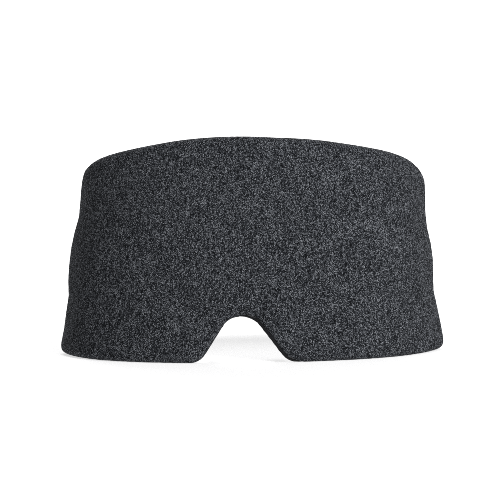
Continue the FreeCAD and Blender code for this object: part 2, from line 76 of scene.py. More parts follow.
class Thread:
    """A socket in a material. Arithmetic on it adds Math nodes, so a pattern reads as a sum."""

    def __init__(self, tree, socket):
        self.tree, self.socket = tree, socket

    def node(self, kind, values=None, output=0, **settings):
        """Adds any other node: its settings first, then the values or links of its sockets."""
        made = self.tree.nodes.new("ShaderNode" + kind)
        for name, setting in settings.items():
            if name == "stops":
                ramp = made.color_ramp
                while len(ramp.elements) < len(setting):
                    ramp.elements.new(1.0)
                for element, (place, shade) in zip(ramp.elements, setting):
                    element.position = place
                    element.color = (*shade, 1.0)
            else:
                setattr(made, name, setting)
        for name, value in (values or {}).items():
            if isinstance(value, Thread):
                self.tree.links.new(value.socket, made.inputs[name])
            else:
                made.inputs[name].default_value = value
        return Thread(self.tree, made.outputs[output])

    def math(self, operation, *values):
        return self.node("Math", dict(enumerate(values)), operation=operation)

    def __add__(self, other):
        return self.math("ADD", self, other)

    def __sub__(self, other):
        return self.math("SUBTRACT", self, other)

    def __rsub__(self, other):
        return self.math("SUBTRACT", other, self)

    def __mul__(self, other):
        return self.math("MULTIPLY", self, other)

    def __truediv__(self, other):
        return self.math("DIVIDE", self, other)

    def __pow__(self, other):
        return self.math("POWER", self, other)

    def __abs__(self):
        return self.math("ABSOLUTE", self)

    __radd__, __rmul__ = __add__, __mul__

    def fraction(self):
        return self.math("FRACT", self)

    def floor(self):
        return self.math("FLOOR", self)

    def ripple(self):
        return self.math("SINE", self)

    def mix(self, first, second):
        """The first colour where this is 0 and the second where it is 1."""
        return self.node("Mix", {0: self, 6: first, 7: second}, output=2, data_type="RGBA")

    def parts(self):
        """The three parts of a vector."""
        split = self.node("SeparateXYZ", {"Vector": self})
        outputs = split.socket.node.outputs
        return [Thread(self.tree, outputs[n]) for n in range(3)]

    def joined(self, y, z=0.0):
        return self.node("CombineXYZ", {"X": self, "Y": y, "Z": z})

    def noise(self, scale, detail=2.0, roughness=0.5):
        return self.node(
            "TexNoise", {"Vector": self, "Scale": scale, "Detail": detail, "Roughness": roughness}
        )

    def scaled(self, x, y, z=1.0):
        return self.node("Mapping", {"Vector": self, "Scale": (x, y, z)})

    def raised(self, strength, height_m, normal=None):
        """The normal of a surface whose height is this, times a height in metres."""
        values = {"Height": self, "Strength": strength, "Distance": height_m}
        if normal is not None:
            values["Normal"] = normal
        return self.node("Bump", values)


class Finish:
    """A material with constant gloss and sheen. Its patterns are made from its coordinates."""

    def __init__(self, name, **constants):
        self.material = bpy.data.materials.new(name)
        self.material.use_nodes = True
        tree = self.material.node_tree
        self.shader = tree.nodes["Principled BSDF"]
        for socket, value in constants.items():
            self.shader.inputs[socket.replace("_", " ")].default_value = value
        coordinates = tree.nodes.new("ShaderNodeTexCoord")
        self.place = Thread(tree, coordinates.outputs["Object"])
        self.flat = Thread(tree, coordinates.outputs["UV"])

    def set(self, **threads):
        for socket, thread in threads.items():
            self.place.tree.links.new(thread.socket, self.shader.inputs[socket.replace("_", " ")])
        return self.material


def wear(thing, material):
    """Gives a piece one material in place of any it has."""
    thing.data.materials.clear()
    thing.data.materials.append(material)


TABLE_HALF_WIDTH, TABLE_LEVEL = 14.0, -0.00005

bm = bmesh.new()
bmesh.ops.create_grid(bm, x_segments=8, y_segments=8, size=TABLE_HALF_WIDTH)
bmesh.ops.translate(bm, verts=bm.verts, vec=(0.0, 0.0, TABLE_LEVEL))
table_top = mesh_from("table_top", bm)
paper = Finish("pale_paper", Roughness=0.9, Emission_Color=(1, 1, 1, 1), Emission_Strength=0.62)
grain = paper.place.noise(3.0)
wear(table_top, paper.set(Base_Color=grain.mix((0.42, 0.42, 0.423, 1), (0.45, 0.45, 0.453, 1))))


def soft_light(name, place, aim, size, watts):
    """A square panel that faces what it is aimed at."""
    lamp = bpy.data.lights.new(name, "AREA")
    lamp.shape, lamp.size, lamp.energy = "SQUARE", size, watts
    thing = add_object(name, lamp)
    thing.location = place
    thing.rotation_euler = (Vector(aim) - Vector(place)).to_track_quat("-Z", "Y").to_euler()


soft_light("key_light", (1.34, -1.99, 1.35), AIM, 1.1, 86.0)
soft_light("fill_light", (-1.9, -1.2, 0.7), AIM, 1.4, 0.3)
soft_light("top_light", (0.3, 0.3, 2.2), AIM, 1.8, 15.0)
soft_light("rear_light", (-0.5, 2.4, 1.8), AIM, 1.8, 46.0)
soft_light("far_table_light", (0.0, 2.7, 2.6), (0.0, 3.0, 0.0), 2.4, 80.0)

world = bpy.data.worlds.new("studio")
bpy.context.scene.world = world
world.use_nodes = True
background = world.node_tree.nodes["Background"].inputs
background["Color"].default_value, background["Strength"].default_value = (1.0, 1.0, 1.0, 1.0), 0.04

# A denoiser or a wide pixel filter would smear the knit.
bpy.context.scene.view_settings.view_transform = "Standard"
bpy.context.scene.cycles.filter_width = 0.9
bpy.context.scene.cycles.use_denoising = False

lens = bpy.data.cameras.new("camera")
lens.sensor_width = 36.0
lens.lens = lens.sensor_width * CAMERA_DISTANCE / VIEW_WIDTH
lens.clip_end = 20.0
camera = add_object("camera", lens)
away = Vector(
    (
        math.sin(CAMERA_AZIMUTH) * math.cos(CAMERA_ELEVATION),
        -math.cos(CAMERA_AZIMUTH) * math.cos(CAMERA_ELEVATION),
        math.sin(CAMERA_ELEVATION),
    )
)
camera.matrix_world = (
    Matrix.Translation(AIM + away * CAMERA_DISTANCE)
    @ (-away).to_track_quat("-Z", "Y").to_matrix().to_4x4()
    @ Matrix.Rotation(-CAMERA_ROLL, 4, "Z")
)
bpy.context.scene.camera = camera

# ---- The front cover --------------------------------------------------------------------------
# Charcoal heather knit over foam. The wall is an arc across the brow and a tighter one round each
# temple, it leans out towards its lower edge, and its cover rolls round the edge to a hidden seam.

FRONT_LINE, FRONT_RADIUS, FRONT_ANGLE = -0.0757, 0.125, math.radians(20)
SIDE_RADIUS, WING_DEPTH = 0.060, 0.058
LEAN, FLARE_LEVEL = math.tan(math.radians(7)), 0.050
MASK_HEIGHT, ARCH_RADIUS = 0.1032, 0.204
TOP_CORNER_RADIUS, TOP_CORNER_DROP, TOP_CORNER_TURN = 0.015, 0.0295, math.radians(65)
BOTTOM_CORNER_RADIUS = 0.006
NOTCH_HEIGHT, NOTCH_CROWN_RADIUS, NOTCH_FLANK = 0.021, 0.011, math.radians(55.4)
NOTCH_SHIFT, CROWN_SHIFT, CROWN_SPREAD = -0.0022, -0.0014, 0.0105
LOBE_RADIUS = 0.008
PAD_THICKNESS, RIM_REACH = 0.009, 0.0048
COVER_THICKNESS = 0.0008

REAR_LINE = FRONT_LINE + WING_DEPTH
SIDE_CENTRE = Vector(
    (
        (FRONT_RADIUS - SIDE_RADIUS) * math.sin(FRONT_ANGLE),
        FRONT_LINE + FRONT_RADIUS - (FRONT_RADIUS - SIDE_RADIUS) * math.cos(FRONT_ANGLE),
    )
)
WING_END_ANGLE = math.radians(84.3)
BROW_LENGTH = FRONT_RADIUS * FRONT_ANGLE
HALF_LENGTH = BROW_LENGTH + SIDE_RADIUS * (WING_END_ANGLE - FRONT_ANGLE)
SEAM_DEPTH = PAD_THICKNESS / 2


def wall_point(along, level, depth):
    """The place in the wall at a length along its plan, a level and a depth behind its outside."""
    along, level, depth = np.broadcast_arrays(along, level, depth)
    lean = (FLARE_LEVEL - level) * LEAN - depth
    reach = np.abs(along)
    end = np.arccos((SIDE_CENTRE.y - REAR_LINE) / (SIDE_RADIUS + lean))
    beyond = (reach - BROW_LENGTH) / (HALF_LENGTH - BROW_LENGTH)
    turn = np.where(
        reach < BROW_LENGTH, reach / FRONT_RADIUS, FRONT_ANGLE + beyond * (end - FRONT_ANGLE)
    )
    brow = reach < BROW_LENGTH
    radius = np.where(brow, FRONT_RADIUS, SIDE_RADIUS) + lean
    x = np.where(brow, 0.0, SIDE_CENTRE.x) + radius * np.sin(turn)
    y = np.where(brow, FRONT_LINE + FRONT_RADIUS, SIDE_CENTRE.y) - radius * np.cos(turn)
    return np.stack([np.sign(along) * x, y, level], axis=-1)


def soft_min(a, b, blend):
    """The smaller of two lengths, rounded off where they cross."""
    return 0.5 * (a + b - np.sqrt((a - b) ** 2 + blend**2))


# The top edge isn't cut quite evenly: how much higher it is at places across the front.
TOP_LIFT_X = (-0.075, -0.060, -0.030, -0.008, 0.014, 0.036, 0.050, 0.058, 0.066, 0.074)
TOP_LIFT = (0.0003, 0.0005, 0.0005, 0.0001, -0.0004, 0.0002, 0.0002, 0.0001, -0.0002, -0.0001)


EDGE_PASSES = 6


def top_level(along):
    """The level of the arched top edge, rounded off at the wings' rear corners."""
    level = np.full_like(along, MASK_HEIGHT - 0.01)
    corner_y = REAR_LINE - TOP_CORNER_RADIUS
    corner_z = MASK_HEIGHT - TOP_CORNER_DROP
    for _ in range(EDGE_PASSES):
        x, y, _z = wall_point(along, level, SEAM_DEPTH).T
        arch = MASK_HEIGHT - ARCH_RADIUS + np.sqrt(ARCH_RADIUS**2 - x**2)
        behind = np.clip(y - corner_y, -1.0, TOP_CORNER_RADIUS)
        round_part = corner_z + np.sqrt(np.maximum(TOP_CORNER_RADIUS**2 - behind**2, 0.0))
        start = TOP_CORNER_RADIUS * math.cos(TOP_CORNER_TURN)
        ridge = corner_z + TOP_CORNER_RADIUS * math.sin(TOP_CORNER_TURN)
        ridge = ridge + (start - behind) / math.tan(TOP_CORNER_TURN)
        level = soft_min(arch, np.where(behind > start, round_part, ridge), 0.002)
    return level + np.interp(x, TOP_LIFT_X, TOP_LIFT)


def bottom_level(along):
    """The level of the lower edge: flat, with the nose notch and a rounded corner at each wing.
    The notch's round crown leans a little further to the left than its foot."""
    level = np.zeros_like(along)
    crown, lobe = NOTCH_CROWN_RADIUS, LOBE_RADIUS
    crown_z = NOTCH_HEIGHT - NOTCH_CROWN_RADIUS
    lobe_x = NOTCH_CROWN_RADIUS + LOBE_RADIUS + (crown_z - LOBE_RADIUS) * math.cos(NOTCH_FLANK)
    lobe_x = lobe_x / math.sin(NOTCH_FLANK)
    top_x, top_z = crown * math.sin(NOTCH_FLANK), crown_z + crown * math.cos(NOTCH_FLANK)
    foot_x = lobe_x - lobe * math.sin(NOTCH_FLANK)
    foot_z = LOBE_RADIUS - lobe * math.cos(NOTCH_FLANK)
    for _ in range(EDGE_PASSES):
        x, y, _z = wall_point(along, level, SEAM_DEPTH).T
        off = x - NOTCH_SHIFT
        off = np.abs(off - CROWN_SHIFT * np.exp(-((off / CROWN_SPREAD) ** 2)))
        arc = crown_z + np.sqrt(np.maximum(crown**2 - off**2, 0.0))
        flank = top_z + (foot_z - top_z) * (off - top_x) / (foot_x - top_x)
        foot = LOBE_RADIUS - np.sqrt(np.maximum(lobe**2 - np.minimum(lobe_x - off, lobe) ** 2, 0.0))
        notch = np.where(off < top_x, arc, np.where(off < foot_x, flank, np.where(off < lobe_x, foot, 0.0)))
        behind = np.clip(y - (REAR_LINE - BOTTOM_CORNER_RADIUS), 0.0, BOTTOM_CORNER_RADIUS)
        corner = BOTTOM_CORNER_RADIUS - np.sqrt(BOTTOM_CORNER_RADIUS**2 - behind**2)
        level = np.maximum(notch, corner)
    return level


STEPS_PAST_RIM = (0.0009, 0.002)


def edge_steps(length, middle_step):
    """Places along a length from 0 to 1: close together where a sheet rolls over its two edges."""
    rim = RIM_REACH * (1 - np.cos(np.linspace(0, math.pi / 2, 9)))
    rim = np.concatenate([rim, RIM_REACH + np.array(STEPS_PAST_RIM)])
    count = max(4, int(round((length - 2 * rim[-1]) / middle_step)))
    middle = np.linspace(rim[-1], length - rim[-1], count + 1)[1:-1]
    return np.concatenate([rim, middle, (length - rim)[::-1]]) / length


def bump(x, low, high):
    """A smooth hump between two values, 1 in its middle and 0 outside."""
    t = np.clip((x - low) / (high - low), 0.0, 1.0)
    return np.sin(math.pi * t) ** 0.7


SEAM_SHOWS = (-0.0042, 0.0245)


def show_of_seam(along):
    """Where the seam turns to the front: along the notch's right flank."""
    return bump(along, *SEAM_SHOWS)


def outline(inset=0.0, turn=0.0):
    """Points round the mask's edge in the flat of its wall, and how far round each one is."""
    along = (HALF_LENGTH - inset) * np.sin(np.linspace(-math.pi / 2, math.pi / 2, 1801))
    low = bottom_level(along) + inset + turn * show_of_seam(along)
    high = top_level(along) - inset
    side = np.linspace(low[-1], high[-1], 160)[1:-1]
    end = np.full_like(side, HALF_LENGTH - inset)
    ring = np.concatenate(
        [np.stack([along, low], 1), np.stack([end, side], 1), np.stack([along, high], 1)[::-1],
         np.stack([-end, side[::-1]], 1)]
    )
    run = np.concatenate([[0.0], np.cumsum(np.linalg.norm(np.diff(ring, axis=0), axis=1))])
    return ring, run


def nearest_edge(flat, edge):
    """For each point in the flat: how far the edge is, how far round the edge it is, and the way in."""
    ring, run = edge
    ahead = np.roll(ring, -3, 0) - np.roll(ring, 3, 0)
    ahead /= np.maximum(np.linalg.norm(ahead, axis=1, keepdims=True), 1e-9)
    gap, place, way_in = np.empty(len(flat)), np.empty(len(flat)), np.empty((len(flat), 2))
    for start in range(0, len(flat), 2000):
        part = flat[start : start + 2000]
        squared = ((part[:, None, :] - ring[None, :, :]) ** 2).sum(2)
        best = squared.argmin(1)
        gap[start : start + 2000] = np.sqrt(squared[np.arange(len(part)), best])
        place[start : start + 2000] = run[best]
        way_in[start : start + 2000] = np.stack([-ahead[best, 1], ahead[best, 0]], 1)
    return gap, place, way_in


def rim_depth(gap, drop=SEAM_DEPTH):
    """How far the outside has sunk towards the seam, at a distance from the edge."""
    inward = np.clip(1.0 - gap / RIM_REACH, 0.0, 1.0)
    return drop * (1.0 - (1.0 - inward**2.2) ** (1 / 2.2))


def rolled(flat, gap, way_in):
    """Where a point of the flat is on the cloth itself, which is longer where it rolls over the edge."""
    gaps = RIM_REACH * (1 - np.cos(np.linspace(0, math.pi / 2, 60)))
    fall = rim_depth(gaps)
    steps = np.hypot(np.diff(gaps), np.diff(fall)) - np.diff(gaps)
    extra = np.concatenate([np.cumsum(steps[::-1])[::-1], [0.0]])
    return flat - way_in * np.interp(gap, gaps, extra)[:, None]


def wave(flat, size, seed):
    """Smooth noise from -1 to 1 over the flat of the wall."""
    points = np.concatenate([flat / size, np.full((len(flat), 1), seed)], 1)
    return np.array([noise.noise(Vector(p)) for p in points])


def laid_grid(columns, rows):
    """A flat grid with that many lines each way, and the column and the row of each point."""
    bm = bmesh.new()
    bmesh.ops.create_grid(bm, x_segments=columns - 1, y_segments=rows - 1, size=1.0)
    spots = np.array([v.co[:2] for v in bm.verts])
    column = np.rint((spots[:, 0] + 1) / 2 * (columns - 1)).astype(int)
    row = np.rint((spots[:, 1] + 1) / 2 * (rows - 1)).astype(int)
    return bm, column, row


def wall_grid(step, inset=0.0, turn=0.0):
    """A grid that fits the mask's outline in the flat of its wall, and its places there."""
    columns, rows = edge_steps(2 * HALF_LENGTH, step), edge_steps(MASK_HEIGHT, step)
    bm, column, row = laid_grid(len(columns), len(rows))
    along = (HALF_LENGTH - inset) * (2 * columns - 1)
    low = bottom_level(along) + inset + turn * show_of_seam(along)
    height = top_level(along) - inset - low
    return bm, np.stack([along[column], low[column] + height[column] * rows[row]], 1)


# The cloth hangs a little unevenly: how far each temple stands out from the true wall, by level.
DRAPE_LEVELS = (
    0.0, 0.0044, 0.0118, 0.0192, 0.0266, 0.034, 0.0414, 0.0488, 0.0562, 0.0635, 0.0709,
    0.0783, 0.0857, 0.0931,
)
DRAPE_LEFT = (
    -0.0022, -0.0018, -0.00115, -0.0010, -0.00065, -0.0016, -0.0019, -0.0018, -0.00105, 0.0003, 0.00015,
    -0.00015, -0.0008, -0.0009,
)
DRAPE_RIGHT = (
    0.0018, 0.0015, 0.0012, 0.0006, -0.00005, 0.00065, 0.0016, 0.00165, 0.00095, 0.0012, 0.00215,
    0.0030, 0.00215, 0.0029,
)
DRAPE_START, DRAPE_SPREAD = 0.035, 0.045


def drape(points, flat):
    """Shifts the temples by the drape of their level, and leaves the brow alone."""
    weight = np.clip((np.abs(flat[:, 0]) - DRAPE_START) / DRAPE_SPREAD, 0.0, 1.0)
    weight = weight * weight * (3 - 2 * weight)
    left = np.interp(flat[:, 1], DRAPE_LEVELS, DRAPE_LEFT)
    right = np.interp(flat[:, 1], DRAPE_LEVELS, DRAPE_RIGHT)
    moved = points.copy()
    moved[:, 0] += weight * np.where(flat[:, 0] < 0, left, right)
    return moved


def lay(bm, points, flat):
    """Moves a grid's points, and gives it a UV map in metres of cloth."""
    bm.verts.index_update()
    for vert, point in zip(bm.verts, points):
        vert.co = point
    layer = bm.loops.layers.uv.new("cloth")
    for face in bm.faces:
        for loop in face.loops:
            loop[layer].uv = flat[loop.vert.index]


def lay_in_wall(bm, flat, depth, cloth=None):
    """Lays a grid into the wall at a depth, with the flat of the wall or of the cloth as its UV map."""
    lay(bm, drape(wall_point(flat[:, 0], flat[:, 1], depth), flat), flat if cloth is None else cloth)


def outwards(bm, way):
    """Turns all faces the same way: towards the outside, which lies in that direction."""
    bmesh.ops.recalc_face_normals(bm, faces=bm.faces)
    if sum(face.normal.dot(Vector(way)) * face.calc_area() for face in bm.faces) < 0:
        bmesh.ops.reverse_faces(bm, faces=bm.faces)


FRONTWARDS, REARWARDS, RIGHTWARDS = (0, -1, 0), (0, 1, 0), (1, 0, 0)


def crease(flat, points):
    """A soft fold along a line of points in the flat: a groove, deepest at its middle, between a
    swell above it and a smaller one below."""
    x, z = np.array(points).T
    along = np.clip((flat[:, 0] - x[0]) / (x[-1] - x[0]), 0.0, 1.0)
    strength = np.where((flat[:, 0] > x[0]) & (flat[:, 0] < x[-1]), np.sin(math.pi * along) ** 0.8, 0.0)
    across = (flat[:, 1] - np.interp(flat[:, 0], x, z)) / CREASE_WIDTH
    groove = np.exp(-(across**2))
    swells = 0.55 * np.exp(-((across - 2.1) ** 2) / 1.8) + 0.3 * np.exp(-((across + 2.0) ** 2) / 1.6)
    return CREASE_DEPTH * strength * (groove - swells)


NOSE_CREASES = (
    ((-0.0290, 0.0236), (-0.0210, 0.0247), (-0.0140, 0.0240), (-0.0075, 0.0222)),
    ((0.0045, 0.0225), (0.0090, 0.0240), (0.0150, 0.0249), (0.0215, 0.0240)),
)
CREASE_WIDTH, CREASE_DEPTH = 0.0017, 0.00115
SEAM_TURN, SEAM_TURN_DEPTH = 0.0024, 0.0024
COVER_STEP, PUCKER_PITCH, PUCKER_DEPTH = 0.00105, 0.0034, 0.00009


def creases(flat):
    return sum(crease(flat, line) for line in NOSE_CREASES)



COVER_EDGE = outline(turn=SEAM_TURN)
bm, flat = wall_grid(COVER_STEP, turn=SEAM_TURN)
gap, run, way_in = nearest_edge(flat, COVER_EDGE)
low_edge = np.clip((0.026 - flat[:, 1]) / 0.004, 0.0, 1.0)
turned = show_of_seam(flat[:, 0]) * low_edge
depth = rim_depth(gap, SEAM_DEPTH - (SEAM_DEPTH - SEAM_TURN_DEPTH) * turned)
depth += (1.0 - np.exp(-gap / 0.006)) * (0.00028 * wave(flat, 0.030, 1.7) + 0.0001 * wave(flat, 0.009, 5.1))
pucker = np.sin(run / PUCKER_PITCH * 2 * math.pi + 3.0 * wave(np.stack([run, 0 * run], 1), 0.02, 3.3))
depth += PUCKER_DEPTH * np.exp(-gap / 0.0028) * pucker * np.clip(gap / 0.0008, 0.0, 1.0)
depth += creases(flat)
lay_in_wall(bm, flat, depth, rolled(flat, gap, way_in))
outwards(bm, FRONTWARDS)
front_cover = mesh_from("front_cover_knit", bm)


def thicken(thing, thickness):
    """Gives a sheet its thickness, behind its outside."""
    solid = thing.modifiers.new("cloth_thickness", "SOLIDIFY")
    solid.thickness, solid.offset = thickness, -1.0


thicken(front_cover, COVER_THICKNESS)

KNIT_WALE, KNIT_COURSE = 0.00074, 0.00053


def heather(name):
    """Heather knit: every leg of every stitch has its own share of dark, grey and pale fibres."""
    knit = Finish(name, Roughness=1.0, Specular_IOR_Level=0.1)
    across, up, _ = knit.flat.parts()
    wobble = knit.flat.noise(260.0, 1.0) - 0.5
    wale, course = (across + wobble * 0.0004) / KNIT_WALE, up / KNIT_COURSE
    lean = abs(wale.fraction() - 0.5)
    leg = course + lean * 1.1
    fibre = (wale * 2.0).floor().joined((leg * 1.5).floor())
    fibre = fibre.node("TexWhiteNoise", {"Vector": fibre}, noise_dimensions="2D")
    fine = knit.flat.scaled(1.0, 0.6).noise(4200.0, 1.0)
    streak = knit.flat.scaled(1.0, 0.2).noise(700.0, 1.0)
    cloud = knit.flat.noise(90.0, 2.0)
    shade = fibre * 0.80 + (fine - 0.5) * 1.5 + (streak - 0.5) * 0.3 + (cloud - 0.5) * 0.1 + 0.05
    colour = shade.node(
        "ValToRGB",
        {"Fac": shade},
        stops=(
            (0.08, (0.0012, 0.0014, 0.0018)), (0.45, (0.012, 0.0132, 0.0160)),
            (0.70, (0.045, 0.049, 0.056)), (1.0, (0.24, 0.25, 0.27)),
        ),
    )
    round_leg = 1.0 - (abs(lean - 0.25) * 4.0) ** 2.0
    turn = leg.fraction() * math.pi
    height = round_leg * 0.5 + turn.ripple() * 0.35 + (fine - 0.5) * 0.8
    return knit.set(Base_Color=colour, Normal=height.raised(0.5, 0.0002))


heather_knit = heather("heather_knit")


def own(thing, body, material, slot, *nodes):
    """Dresses a piece, puts it on its body, and hides the nodes it stands for."""
    if material is not None:
        wear(thing, material)
    if body is not None:
        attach(thing, body)
    if nodes:
        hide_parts(*nodes)
    return thing


def flat_area(inset):
    """The area inside the mask's outline, drawn in by an inset."""
    ring, _ = outline(inset)
    x, z = ring.T
    return abs(0.5 * float(np.sum(x * np.roll(z, -1) - z * np.roll(x, -1))))


TURNED_IN = 0.0016
CUT_AREA = flat_area(-TURNED_IN)

own(front_cover, "mask", heather_knit, "heather_knit", "front_cover")

# ---- The foam pad and the blackout film ---------------------------------------------------------
# A sheet of soft foam with rounded edges and a hollow for each eye, cut from 7 mm stock. A thin
# opaque film is bonded to its front, and both are closed in by the cover and the lining.

EYE_ANGLE, EYE_LEVEL = math.radians(17.5), 0.049
EYE_HALF_WIDTH, EYE_HALF_HEIGHT = 0.020, 0.0135
EYE_ALONG = FRONT_RADIUS * EYE_ANGLE
FILM_DEPTH, FILM_THICKNESS, FILM_STEP = 0.00095, 0.0003, 0.0016
FOAM_DEPTH, FOAM_REAR, FOAM_STEP, HOLLOW_FLOOR = 0.0015, 0.0079, 0.002, 0.0033
SHEETS_INSET = 0.0014


def eye_factor(flat):
    """0 at the middle of an eye hollow, 1 at its edge."""
    across, up = np.abs(flat[:, 0]) - EYE_ALONG, flat[:, 1] - EYE_LEVEL
    return np.hypot(across / EYE_HALF_WIDTH, up / EYE_HALF_HEIGHT)


bm, flat = wall_grid(FILM_STEP, inset=SHEETS_INSET)
gap, _, _ = nearest_edge(flat, COVER_EDGE)
lay_in_wall(bm, flat, FILM_DEPTH + 0.85 * rim_depth(gap) + creases(flat))
outwards(bm, FRONTWARDS)
film = mesh_from("opaque_film", bm)
thicken(film, FILM_THICKNESS)
film_finish = Finish("black_film", Roughness=0.5)
speck = film_finish.place.noise(900.0)
own(film, "mask", film_finish.set(Base_Color=speck.mix((0.006, 0.006, 0.007, 1), (0.014, 0.014, 0.015, 1))),
    "film", "blackout_film")

bm, flat = wall_grid(FOAM_STEP, inset=SHEETS_INSET)
gap, _, _ = nearest_edge(flat, outline())
front = drape(wall_point(flat[:, 0], flat[:, 1], FOAM_DEPTH + 0.7 * rim_depth(gap) + creases(flat)), flat)
hollow = np.clip((1.12 - eye_factor(flat)) / 0.22, 0.0, 1.0)
rear_depth = FOAM_REAR - 0.7 * rim_depth(gap)
rear_depth -= (FOAM_REAR - HOLLOW_FLOOR) * hollow * hollow * (3 - 2 * hollow)
rear = drape(wall_point(flat[:, 0], flat[:, 1], np.maximum(rear_depth, HOLLOW_FLOOR)), flat)


def slab(bm, front, rear):
    """Makes a flat grid a closed slab between two sheets of points."""
    front_verts = list(bm.verts)
    partner = bmesh.ops.duplicate(bm, geom=bm.verts[:] + bm.edges[:] + bm.faces[:])["vert_map"]
    for vert, front_place, rear_place in zip(front_verts, front, rear):
        vert.co, partner[vert].co = front_place, rear_place
    bmesh.ops.bridge_loops(bm, edges=[e for e in bm.edges if e.is_boundary])
    bmesh.ops.recalc_face_normals(bm, faces=bm.faces)


slab(bm, front, rear)
foam_pad = mesh_from("foam_pad", bm)
foam_finish = Finish("open_cell_foam", Roughness=0.95)
cell = foam_finish.place.node("TexVoronoi", {"Vector": foam_finish.place, "Scale": 1400.0})
own(foam_pad, "mask",
    foam_finish.set(Base_Color=cell.mix((0.02, 0.02, 0.021, 1), (0.075, 0.075, 0.078, 1)),
                    Normal=cell.raised(0.5, 0.0003)),
    "foam", "foam_core")

# ---- The nose wire ------------------------------------------------------------------------------
# A flat annealed strip in a channel of the foam over the nose notch. The wearer bends it to the
# bridge of the nose. It is drawn and cut, so it has fine scratches along its length.

wire_finish = Finish("drawn_strip", Metallic=1.0, Roughness=0.42)
scratch = wire_finish.place.scaled(0.1, 1.0, 12.0).noise(600.0)
wear(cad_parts["nose_wire"],
     wire_finish.set(Base_Color=scratch.mix((0.45, 0.45, 0.46, 1), (0.66, 0.66, 0.67, 1)),
                     Normal=scratch.raised(0.2, 0.00005)))

# ---- The edge seam ------------------------------------------------------------------------------
# The cover and the lining meet in one seam half way through the edge. A narrow black roll of the
# seam allowance shows there, and along the notch's right flank it turns to the front.

SEAM_RADIUS, SEAM_STEP, SEAM_INSET = 0.00062, 0.0011, 0.00066


def unit(vectors):
    return vectors / np.maximum(np.linalg.norm(vectors, axis=-1, keepdims=True), 1e-12)


def swept(name, path, outward, section, closed=False, caps=True, smooth=True):
    """A section carried along a path. A section's points are across the path and outward from it,
    and it may be one section for all or one for each point. The UV map is in metres."""
    path, outward = np.asarray(path, float), unit(np.asarray(outward, float))
    count = len(path)
    ahead = unit(np.roll(path, -1, 0) - np.roll(path, 1, 0)) if closed else unit(np.gradient(path, axis=0))
    across = unit(np.cross(ahead, outward))
    outward = np.cross(across, ahead)
    section = np.broadcast_to(section, (count,) + np.shape(section)[-2:])
    points = (path[:, None] + across[:, None] * section[..., :1] + outward[:, None] * section[..., 1:])
    length = np.concatenate([[0.0], np.cumsum(np.linalg.norm(np.diff(path, axis=0), axis=1))])
    round_it = np.linalg.norm(np.diff(section[0], axis=0, append=section[0][:1]), axis=1)
    girth = np.concatenate([[0.0], np.cumsum(round_it)])
    bm, column, row = laid_grid(count + closed, section.shape[1] + 1)
    lay(bm, points[column % count, row % section.shape[1]],
        np.stack([np.append(length, length[-1] + SEAM_STEP)[column], girth[row]], 1))
    bmesh.ops.remove_doubles(bm, verts=bm.verts, dist=1e-7)
    if caps and not closed:
        bmesh.ops.holes_fill(bm, edges=[e for e in bm.edges if e.is_boundary])
    bmesh.ops.recalc_face_normals(bm, faces=bm.faces)
    return mesh_from(name, bm, smooth)


def even_ring(ring, run, step):
    """The ring's points again, evenly spaced, without its last point."""
    count = int(run[-1] / step)
    places = np.linspace(0.0, run[-1], count, endpoint=False)
    return np.stack([np.interp(places, run, ring[:, n]) for n in range(2)], 1)


def round_section(radius, sides=10):
    """A round section for each of the radii."""
    turn = np.linspace(0, 2 * math.pi, sides, endpoint=False)
    return radius[..., None, None] * np.stack([np.cos(turn), np.sin(turn)], -1)


ring = even_ring(*COVER_EDGE, SEAM_STEP)
ring_ahead = unit(np.roll(ring, -1, 0) - np.roll(ring, 1, 0))
ring_inward = np.stack([-ring_ahead[:, 1], ring_ahead[:, 0]], 1)
turned = show_of_seam(ring[:, 0]) * np.clip((0.027 - ring[:, 1]) / 0.004, 0.0, 1.0)
seam_flat = ring + ring_inward * (SEAM_INSET - 0.0012 * turned)[:, None]
seam_depth = SEAM_DEPTH - (SEAM_DEPTH - SEAM_TURN_DEPTH) * turned * 0.8
seam_path = drape(wall_point(seam_flat[:, 0], seam_flat[:, 1], seam_depth), seam_flat)
seam_out = seam_path - drape(wall_point(seam_flat[:, 0], seam_flat[:, 1], seam_depth + 0.001), seam_flat)
radius = SEAM_RADIUS * (1 + 0.12 * np.sin(np.arange(len(ring)) * 1.9)) + 0.0004 * turned
edge_seam = swept("edge_seam_roll", seam_path, seam_out, round_section(radius), closed=True)
seam_finish = Finish("black_thread", Roughness=0.9, Specular_IOR_Level=0.15)
twist = seam_finish.place.noise(2400.0, 2.0)
black_thread = seam_finish.set(Base_Color=twist.mix((0.003, 0.003, 0.0035, 1), (0.014, 0.014, 0.016, 1)),
                               Normal=twist.raised(0.5, 0.0002))
own(edge_seam, "mask", black_thread, "thread", "edge_seam")

# ---- The inner lining ---------------------------------------------------------------------------
# Smooth black jersey on the face side. It rolls round the edge to the same seam, and it has an
# oval opening at each eye, whose raw edge is under the cushion ring.

LINING_THICKNESS, LINING_STEP, LINING_PUCKER, OPENING_FACTOR = 0.0008, 0.00125, 0.00012, 1.11

bm, flat = wall_grid(LINING_STEP)
gap, run, way_in = nearest_edge(flat, outline())
depth = PAD_THICKNESS - rim_depth(gap)
depth += (1.0 - np.exp(-gap / 0.006)) * (0.00025 * wave(flat, 0.026, 9.7) + 0.0001 * wave(flat, 0.008, 2.1))
pucker = np.sin(run / PUCKER_PITCH * 2 * math.pi)
depth += LINING_PUCKER * np.exp(-gap / 0.003) * pucker * np.clip(gap / 0.0008, 0.0, 1.0)
lay_in_wall(bm, flat, depth, rolled(flat, gap, way_in))
factor = eye_factor(flat)
inside = [f for f in bm.faces if all(factor[v.index] < OPENING_FACTOR for v in f.verts)]
bmesh.ops.delete(bm, geom=inside, context="FACES")
outwards(bm, REARWARDS)
lining = mesh_from("jersey_lining", bm)
thicken(lining, LINING_THICKNESS)


JERSEY_WALE, JERSEY_COURSE = 0.00045, 0.00036


